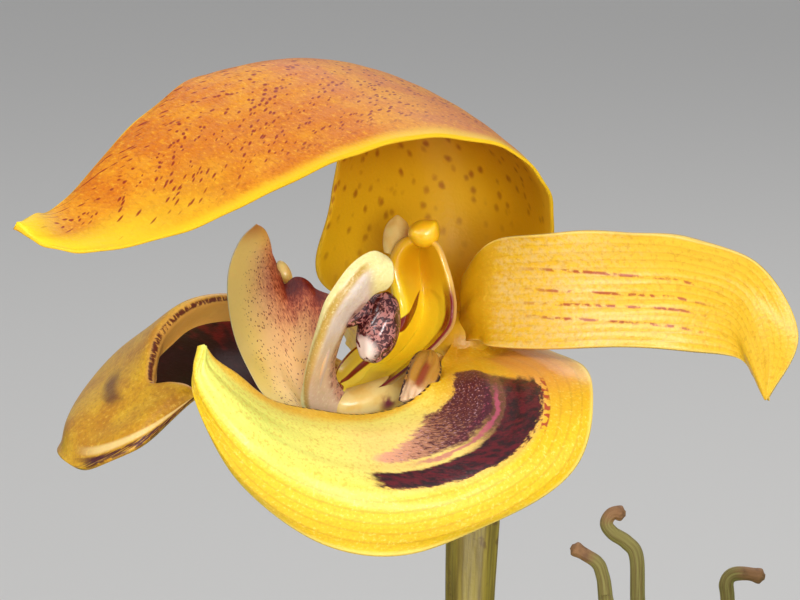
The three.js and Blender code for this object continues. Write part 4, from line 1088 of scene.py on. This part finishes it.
class ORCHID_OT_dorsal_sepal(bpy.types.Operator):
    """Hooded dorsal sepal that arches over the flower"""
    bl_idname = "orchid.dorsal_sepal"
    bl_label = "Dorsal Sepal"

    def execute(self, context):
        p = context.scene.orchid_flower
        u, v, q = axes(210, 84)
        thick = p.thickness / MM * (1 - 0.72 * q ** 3)
        veins = -0.012 * np.sin(v * HOOD_VEINS)[None] * (1 - smooth(0.7, 0.85, u))[:, None]
        margin = q ** 6 * 0.1 * ripple(3, 5, 60, u, v, 0.2) * smooth(0.1, 0.3, u)[:, None]
        shell("dorsal_sepal_blade", railed(DORSAL, u, v), thick, -1, dorsal_finish(p),
              ["dorsal_sepal"], (veins + margin) * tip_fade(u))
        return {"FINISHED"}


class ORCHID_OT_lateral_sepals(bpy.types.Operator):
    """The two lateral sepals, and the ear where the near one folds at its inner edge"""
    bl_idname = "orchid.lateral_sepals"
    bl_label = "Lateral Sepals"

    def execute(self, context):
        u, v, q = axes(210, 84)
        body = context.scene.orchid_flower.thickness / MM * (1 - 0.5 * q ** 4)
        lift = 0.015 * np.sin(v * SEPAL_RIBS)[None] + 0.1 * ripple(5, 6, 26, u, v)
        lift = (lift + q ** 8 * 0.18 * ripple(6, 5, 70, u, v, 0.2)) * tip_fade(u)
        shell("lateral_sepal_near_blade", railed(NEAR_SEPAL, u, v), body, 1, sepal_near_finish(),
              ["lateral_sepal_near"], lift)
        lift = 0.1 * ripple(7, 6, 24, u, v) + q ** 8 * 0.16 * ripple(8, 5, 60, u, v, 0.2)
        shell("lateral_sepal_far_blade", railed(FAR_SEPAL, u, v), body, 1, sepal_far_finish(),
              ["lateral_sepal_far"], lift * tip_fade(u))
        u, v, _ = axes(70, 40)
        lift = 0.12 * ripple(9, 5, 18, u, v) * tip_fade(u, 0.85)
        shell("lateral_sepal_near_ear", railed(EAR, u, v), 0.5, 1, ear_finish(), (), lift)
        return {"FINISHED"}


class ORCHID_OT_petals(bpy.types.Operator):
    """The two petals, spread right and left of the flower"""
    bl_idname = "orchid.petals"
    bl_label = "Petals"

    def execute(self, context):
        skin = petal_finish(context.scene.orchid_flower)
        u, v, q = axes(170, 90)
        thick = 0.5 * (1 - 0.5 * q ** 4)
        ribs = (smooth(0.2, 0.35, u) * (1 - smooth(0.7, 0.85, u)))[:, None]
        for node, rails, inner, seed in (("petal_near", NEAR_PETAL, -1, 12), ("petal_far", FAR_PETAL, 1, 13)):
            lift = 0.012 * np.sin(v * PETAL_VEINS)[None] * ribs + 0.08 * ripple(seed, 6, 22, u, v)
            lift = (lift + q ** 8 * 0.15 * ripple(seed + 5, 5, 60, u, v, 0.2)) * tip_fade(u)
            shell(f"{node}_blade", railed(rails, u, v), thick, inner, skin, [node], lift)
        return {"FINISHED"}


class ORCHID_OT_column(bpy.types.Operator):
    """Column with its dark near rim, its foot and pale wing, and the two-lobed anther cap"""
    bl_idname = "orchid.column"
    bl_label = "Column and Anther Cap"

    def execute(self, context):
        u, v, _ = axes(150, 80)
        crest = np.exp(-(v / 0.05) ** 2) + 0.6 * np.exp(-((v - 0.66) / 0.05) ** 2)
        thick = (0.7 - 0.15 * u[:, None]) * (0.6 + 0.4 * smooth(0, 0.15, v))
        lift = 0.06 * crest * smooth(0.15, 0.3, u)[:, None]
        lift = lift + 0.55 * np.exp(-((u[:, None] - 0.7) / 0.07) ** 2 - ((v - 0.33) / 0.16) ** 2)
        shell("column_body", railed(COLUMN, u, v), thick, -1, column_finish(), ["column"],
              lift * tip_fade(u, 0.9))
        foot = foot_finish()
        t = np.linspace(0, 1, 80)
        swell = 0.75 + 0.45 * np.sin(np.pi * t ** 1.3)
        tube("column_foot", placed(spline(FOOT, t)), swell, 40, foot)
        u, v, _ = axes(50, 24)
        shell("column_wing", railed(WING, u, v), 0.4, 1, foot)

        def lobes(d):
            high = np.exp(-((d[..., 0] - 0.5) / 0.3) ** 2 - ((d[..., 2] - 0.8) / 0.5) ** 2)
            low = np.exp(-((d[..., 0] + 0.7) / 0.3) ** 2 - ((d[..., 2] + 0.1) / 0.4) ** 2)
            return 0.25 * high + 0.25 * low

        cap = egg_grid((1.75, 0.5, 4.75), (1.1, 1.1, 1.0), 10, 60, 90, lobes)
        egg("anther_cap_body", cap, cap_finish(), ["anther_cap"])
        return {"FINISHED"}


class ORCHID_OT_lip(bpy.types.Operator):
    """Hinged lip: two wings that meet in a tip, the mottled callus between them and a small fold"""
    bl_idname = "orchid.lip"
    bl_label = "Lip"

    def execute(self, context):
        u, v, q = axes(150, 100)
        lift = 0.04 * ripple(31, 7, 26, u, v) * tip_fade(u, 0.9)
        shell("lip_wings", railed(LIP, u, v), 0.6 * (1 - 0.3 * q ** 4), 1, lip_finish(), ["lip"], lift)
        u, v, q = axes(150, 60)
        lift = 0.03 * ripple(32, 7, 30, u, v) * tip_fade(u, 0.9)
        shell("lip_near_wing", railed(LIP_SIDE, u, v), 0.55 * (1 - 0.3 * q ** 4), -1, lip_side_finish(),
              (), lift)
        callus = callus_finish()
        knob = egg_grid((-1.5, -8.7, -1.9), (1.5, 1.5, 2.55), 14, 70, 90,
                        lambda d: 0.05 * waves(33, 6, 10, *np.moveaxis(d, -1, 0)))
        egg("lip_callus", knob, callus)
        bridge = egg_grid((-3.3, -9.3, -0.9), (1.5, 1.0, 0.95), -28, 50, 70,
                          lambda d: 0.04 * waves(34, 6, 10, *np.moveaxis(d, -1, 0)))
        egg("lip_bridge", bridge, callus)
        fold = egg_grid((-8.1, -5.4, 1.9), (0.45, 0.6, 0.95), -25, 40, 50)
        egg("lip_far_fold", fold, foot_finish())
        return {"FINISHED"}


class ORCHID_OT_scapes(bpy.types.Operator):
    """Flower stalk with its sheaths and ribbed ovary, and three spent stalks"""
    bl_idname = "orchid.scapes"
    bl_label = "Scapes"

    def execute(self, context):
        t = np.linspace(0, 1, 260)
        path = SCAPE_LOW + placed(SCAPE_HIGH).tolist()
        radius = 1.9 - 0.4 * t + sum(stepped(t, s, 0.075, 0.35, 0.6) for s in SHEATHS)
        green = stem_finish("scape_skin", rgb(140, 138, 58), rgb(98, 92, 36))
        tube("scape_stem", spline(path, t), radius, 40, green, ["scape"])
        t = np.linspace(0, 1, 130)
        radius = 1.25 + 0.75 * np.sin(np.minimum(1, t * 1.5) * math.pi / 2)
        radius = radius - 0.35 * np.maximum(0, t - 0.9) / 0.1
        ribs = 0.05 * np.cos(6 * np.linspace(0, 2 * math.pi, 48, endpoint=False))[None] * np.ones((130, 1))
        pale = stem_finish("ovary_skin", rgb(156, 138, 52), rgb(116, 98, 36))
        tube("ovary_stem", placed(spline(OVARY, t)), radius, 48, pale, ["ovary"], grain=ribs)
        seat = egg_grid((4.3, 3.5, -3.0), (2.5, 1.8, 2.2), 0, 50, 70)
        egg("ovary_top", seat, seat_finish())
        dry = spent_finish()
        t = np.linspace(0, 1, 120)
        radius = 0.75 - 0.22 * t + 0.1 * np.exp(-((t - 0.96) / 0.03) ** 2)
        radius = radius * (1 - 0.6 * smooth(0.97, 1, t))
        for k, ((fx, fy), tips) in enumerate(SPENT):
            low = placed(tips[:1])[0]
            foot = [[fx, fy, SOIL_Z - 5], [fx, fy + 0.5, SOIL_Z + 16],
                    [fx * 0.55 + low[0] * 0.45, fy * 0.5 + low[1] * 0.5 + 1.5, SOIL_Z * 0.4 + low[2] * 0.6]]
            grain = 0.06 * waves(40 + k, 6, 30, t)[:, None] * np.ones(32)
            tube(f"spent_scape_{k + 1}_stem", spline(foot + placed(tips).tolist(), t), radius, 32, dry,
                 [f"spent_scape_{k + 1}"], grain=grain)
        return {"FINISHED"}


class ORCHID_OT_pseudobulbs(bpy.types.Operator):
    """Ridged, wrinkled pseudobulbs along the rhizome"""
    bl_idname = "orchid.pseudobulbs"
    bl_label = "Pseudobulbs"

    def execute(self, context):
        skin = bulb_finish(context.scene.orchid_plant)
        t = np.linspace(0, 1, 76)
        a = np.linspace(0, 2 * math.pi, 72, endpoint=False)
        for k, (x, y, h, r, lx, ly, *_) in enumerate(SHOOTS):
            bends = ((0, 0), (0.3, 0.35), (0.65, 0.7), (1, 1))
            path = spline([(x + f * lx, y + f * ly, BULB_Z + up * h) for f, up in bends], t)
            swell = r * (0.42 + 0.62 * np.sin(math.pi * np.minimum(t, 0.999) ** 0.8) ** 0.9 - 0.12 * t)
            count = 5 + k % 2
            ridge = np.cos(count * a + 0.5 * np.sin(3 * a + k))
            grain = (0.055 * ridge[None] - 0.03 * (1 - ridge[None]) ** 2 * np.sin(math.pi * t)[:, None]
                     + 0.018 * waves(50 + k, 8, 9, a[None] * 0 + np.cos(3 * a)[None], t[:, None] * 3))
            tube(f"pseudobulb_{k + 1}_body", path, swell, 72, skin, [f"pseudobulb_{k + 1}"],
                 grain=grain)
        return {"FINISHED"}


class ORCHID_OT_leaves(bpy.types.Operator):
    """One strap leaf on each pseudobulb"""
    bl_idname = "orchid.leaves"
    bl_label = "Leaves"

    def execute(self, context):
        p = context.scene.orchid_plant
        skin = leaf_finish(p)
        rows, cols = 110, 40
        neck = 0.14
        u, q = np.linspace(0, 1, rows)[:, None], np.abs(np.linspace(-1, 1, cols))[None]
        for k, shoot in enumerate(SHOOTS):
            x, y, h, _, lx, ly = shoot[:6]
            grid = leaf_grid(shoot, (x + lx, y + ly, BULB_Z + h), rows, cols)
            stalk = 2.4 - 0.9 * u / neck
            thick = np.where(u < neck, stalk, p.leaf_thickness / MM) * (1 - 0.45 * q ** 2)
            shell(f"leaf_{k + 1}_blade", grid, thick, 1, skin, [f"leaf_{k + 1}"], flower=False)
        return {"FINISHED"}


class ORCHID_OT_rhizome(bpy.types.Operator):
    """Creeping rhizome with ringed nodes, and its roots"""
    bl_idname = "orchid.rhizome"
    bl_label = "Rhizome"

    def execute(self, context):
        skin = stem_finish("rhizome_skin", rgb(150, 132, 84), rgb(104, 82, 50), 400)
        t = np.linspace(0, 1, 260)
        feet = [(s[0], s[1], SOIL_Z + 3.4) for s in SHOOTS]
        path = spline([(-43, 12, SOIL_Z + 1.5)] + feet + [(47, 3, SOIL_Z + 1.8)], t)
        ends = np.minimum(1, 0.55 + 9 * np.minimum(t, 1 - t))
        radius = (RHIZOME_R + 0.3 * np.cos(60 * t) + 0.25 * ((t * 22) % 1) ** 3) * ends
        tube("rhizome_body", path, radius, 40, skin, ["rhizome"])
        white = stem_finish("root_skin", rgb(206, 200, 170), rgb(170, 168, 128))
        draw = np.random.default_rng(11)
        t = np.linspace(0, 1, 60)
        for k in range(8):
            at = feet[k % len(feet)]
            centre, spread = (70, 90) if k % 2 else (-80, 100)
            head = math.radians(centre + spread * (draw.random() - 0.5))
            reach = 14 + 9 * draw.random()
            c, s = math.cos(head), math.sin(head)
            run = spline([(at[0] + f * reach * c, at[1] + f * reach * s, SOIL_Z + z)
                          for f, z in ((0, 3.2), (0.35, 2.6), (0.75, 1.2), (1, -3.5))], t)
            run = run + np.stack([waves(60 + k, 4, 14, t), waves(70 + k, 4, 14, t), 0 * t], -1) * 0.4
            tube(f"root_{k + 1}", run, 1.0 - 0.3 * t, 20, white)
        return {"FINISHED"}


class ORCHID_OT_bark(bpy.types.Operator):
    """Bark bed that fills the pot, and the loose chips on it"""
    bl_idname = "orchid.bark"
    bl_label = "Bark"

    def execute(self, context):
        ring = [(6.5, 0.5), (6.5, 34.8), (8, 36.7), (SOIL_Z - 2, 50.2), (SOIL_Z, 46), (SOIL_Z, 36),
                (SOIL_Z, 26), (SOIL_Z, 17), (SOIL_Z, 8), (SOIL_Z, 0.5)]
        t, at = np.linspace(0, 1, 90), np.linspace(0, 1, len(ring))
        z, r = (np.interp(t, at, values) for values in zip(*ring))
        grid = revolved(r, z, 180)
        top = ((z > SOIL_Z - 1) * smooth(48, 44, r))[:, None]
        grid[..., 2] += top * (waves(80, 9, 0.7, grid[..., 0], grid[..., 1]) - 0.8)
        verts, faces = tube_mesh(grid)
        bed = make("bark_bed", verts, faces, bark_finish(), ["medium"])
        weld(bed)
        verts, faces, data = bark_chips(81, context.scene.orchid_pot.chips, 46.5, SOIL_Z)
        chips = make("bark_chips", verts, faces, chip_finish(), data=data)
        chips.data.polygons.foreach_set("use_smooth", np.zeros(len(chips.data.polygons), bool))
        weld(chips, 1e-9)
        return {"FINISHED"}


class ORCHID_OT_pot(bpy.types.Operator):
    """Thrown clay pot with a thick rolled collar and three drain holes"""
    bl_idname = "orchid.pot"
    bl_label = "Pot"

    def execute(self, context):
        pot = turned("pot_body", rounded(POT_PROFILE, radius=0.8), 200, clay_finish(context.scene.orchid_pot),
                     "terracotta", ["pot"])
        drill(pot, [(19, math.radians(d)) for d in (30, 150, 270)], radius=4.5, reach=12)
        return {"FINISHED"}


class ORCHID_OT_stage(bpy.types.Operator):
    """Plain pale floor, soft studio lights and the camera at the photograph's viewing angle"""
    bl_idname = "orchid.stage"
    bl_label = "Stage"

    def execute(self, context):
        p = context.scene.orchid_stage
        m = Mat("floor_paint", Roughness=0.9)
        m.shader.inputs["Base Color"].default_value = p.floor_colour[:] + (1,)
        half = p.floor_size / MM / 2
        corners = [(-half, -half, 0), (half, -half, 0), (half, half, 0), (-half, half, 0)]
        make("floor", corners, np.array([[0, 1, 2, 3]]), m.material, stage=True)
        aim = Vector(FLOWER) * MM
        for name, place, size, share in (("key", (-0.35, -0.8, 0.85), 0.4, 1.0),
                                         ("front", (0.15, -0.75, 0.33), 0.25, 0.45),
                                         ("fill", (0.8, -0.7, 0.45), 0.8, 0.3),
                                         ("back", (0.2, 0.8, 0.9), 0.6, 0.35)):
            data = bpy.data.lights.new(name, "AREA")
            data.size = size
            data.energy = p.light * share
            lamp = bpy.data.objects.new(name, data)
            lamp.location = place
            lamp.rotation_euler = (aim - Vector(place)).to_track_quat("-Z", "Y").to_euler()
            context.scene.collection.objects.link(lamp)
        world = bpy.data.worlds.new("studio")
        world.use_nodes = True
        sky = next(n for n in world.node_tree.nodes if n.type == "BACKGROUND")
        sky.inputs["Color"].default_value = (0.9, 0.91, 0.93, 1)
        sky.inputs["Strength"].default_value = WORLD_LIGHT
        context.scene.world = world
        context.scene.view_settings.view_transform = "Standard"
        data = bpy.data.cameras.new("camera")
        data.sensor_width = SENSOR
        data.lens = SENSOR * VIEW_DISTANCE / VIEW_WIDTH
        data.clip_start = 0.01
        data.clip_end = 200
        camera = bpy.data.objects.new("camera", data)
        away = Vector((0, -math.cos(VIEW_TILT), math.sin(VIEW_TILT)))
        camera.location = aim + away * VIEW_DISTANCE * MM
        camera.rotation_euler = (-away).to_track_quat("-Z", "Y").to_euler()
        context.scene.collection.objects.link(camera)
        context.scene.camera = camera
        return {"FINISHED"}


GROUPS = {"orchid_flower": FlowerSettings, "orchid_plant": PlantSettings, "orchid_pot": PotSettings,
          "orchid_stage": StageSettings}
STEPS = [
    ORCHID_OT_stage, ORCHID_OT_pot, ORCHID_OT_bark, ORCHID_OT_rhizome, ORCHID_OT_pseudobulbs,
    ORCHID_OT_leaves, ORCHID_OT_scapes, ORCHID_OT_dorsal_sepal, ORCHID_OT_lateral_sepals,
    ORCHID_OT_petals, ORCHID_OT_column, ORCHID_OT_lip,
]


class ORCHID_PT_panel(bpy.types.Panel):
    """Settings and build steps of the orchid"""
    bl_label = "Potted Orchid"
    bl_space_type = "VIEW_3D"
    bl_region_type = "UI"
    bl_category = "Orchid"

    def draw(self, context):
        for name, group in GROUPS.items():
            box = self.layout.box()
            for key in group.__annotations__:
                box.prop(getattr(context.scene, name), key)
        for step in STEPS:
            self.layout.operator(step.bl_idname)


def register():
    for cls in [*GROUPS.values(), *STEPS, ORCHID_PT_panel]:
        bpy.utils.register_class(cls)
    for name, group in GROUPS.items():
        setattr(bpy.types.Scene, name, PointerProperty(type=group))


def unregister():
    for name in GROUPS:
        delattr(bpy.types.Scene, name)
    for cls in reversed([*GROUPS.values(), *STEPS, ORCHID_PT_panel]):
        bpy.utils.unregister_class(cls)


def main():
    register()
    for step in STEPS:
        group, name = step.bl_idname.split(".")
        getattr(getattr(bpy.ops, group), name)()


if __name__ == "__main__":
    main()
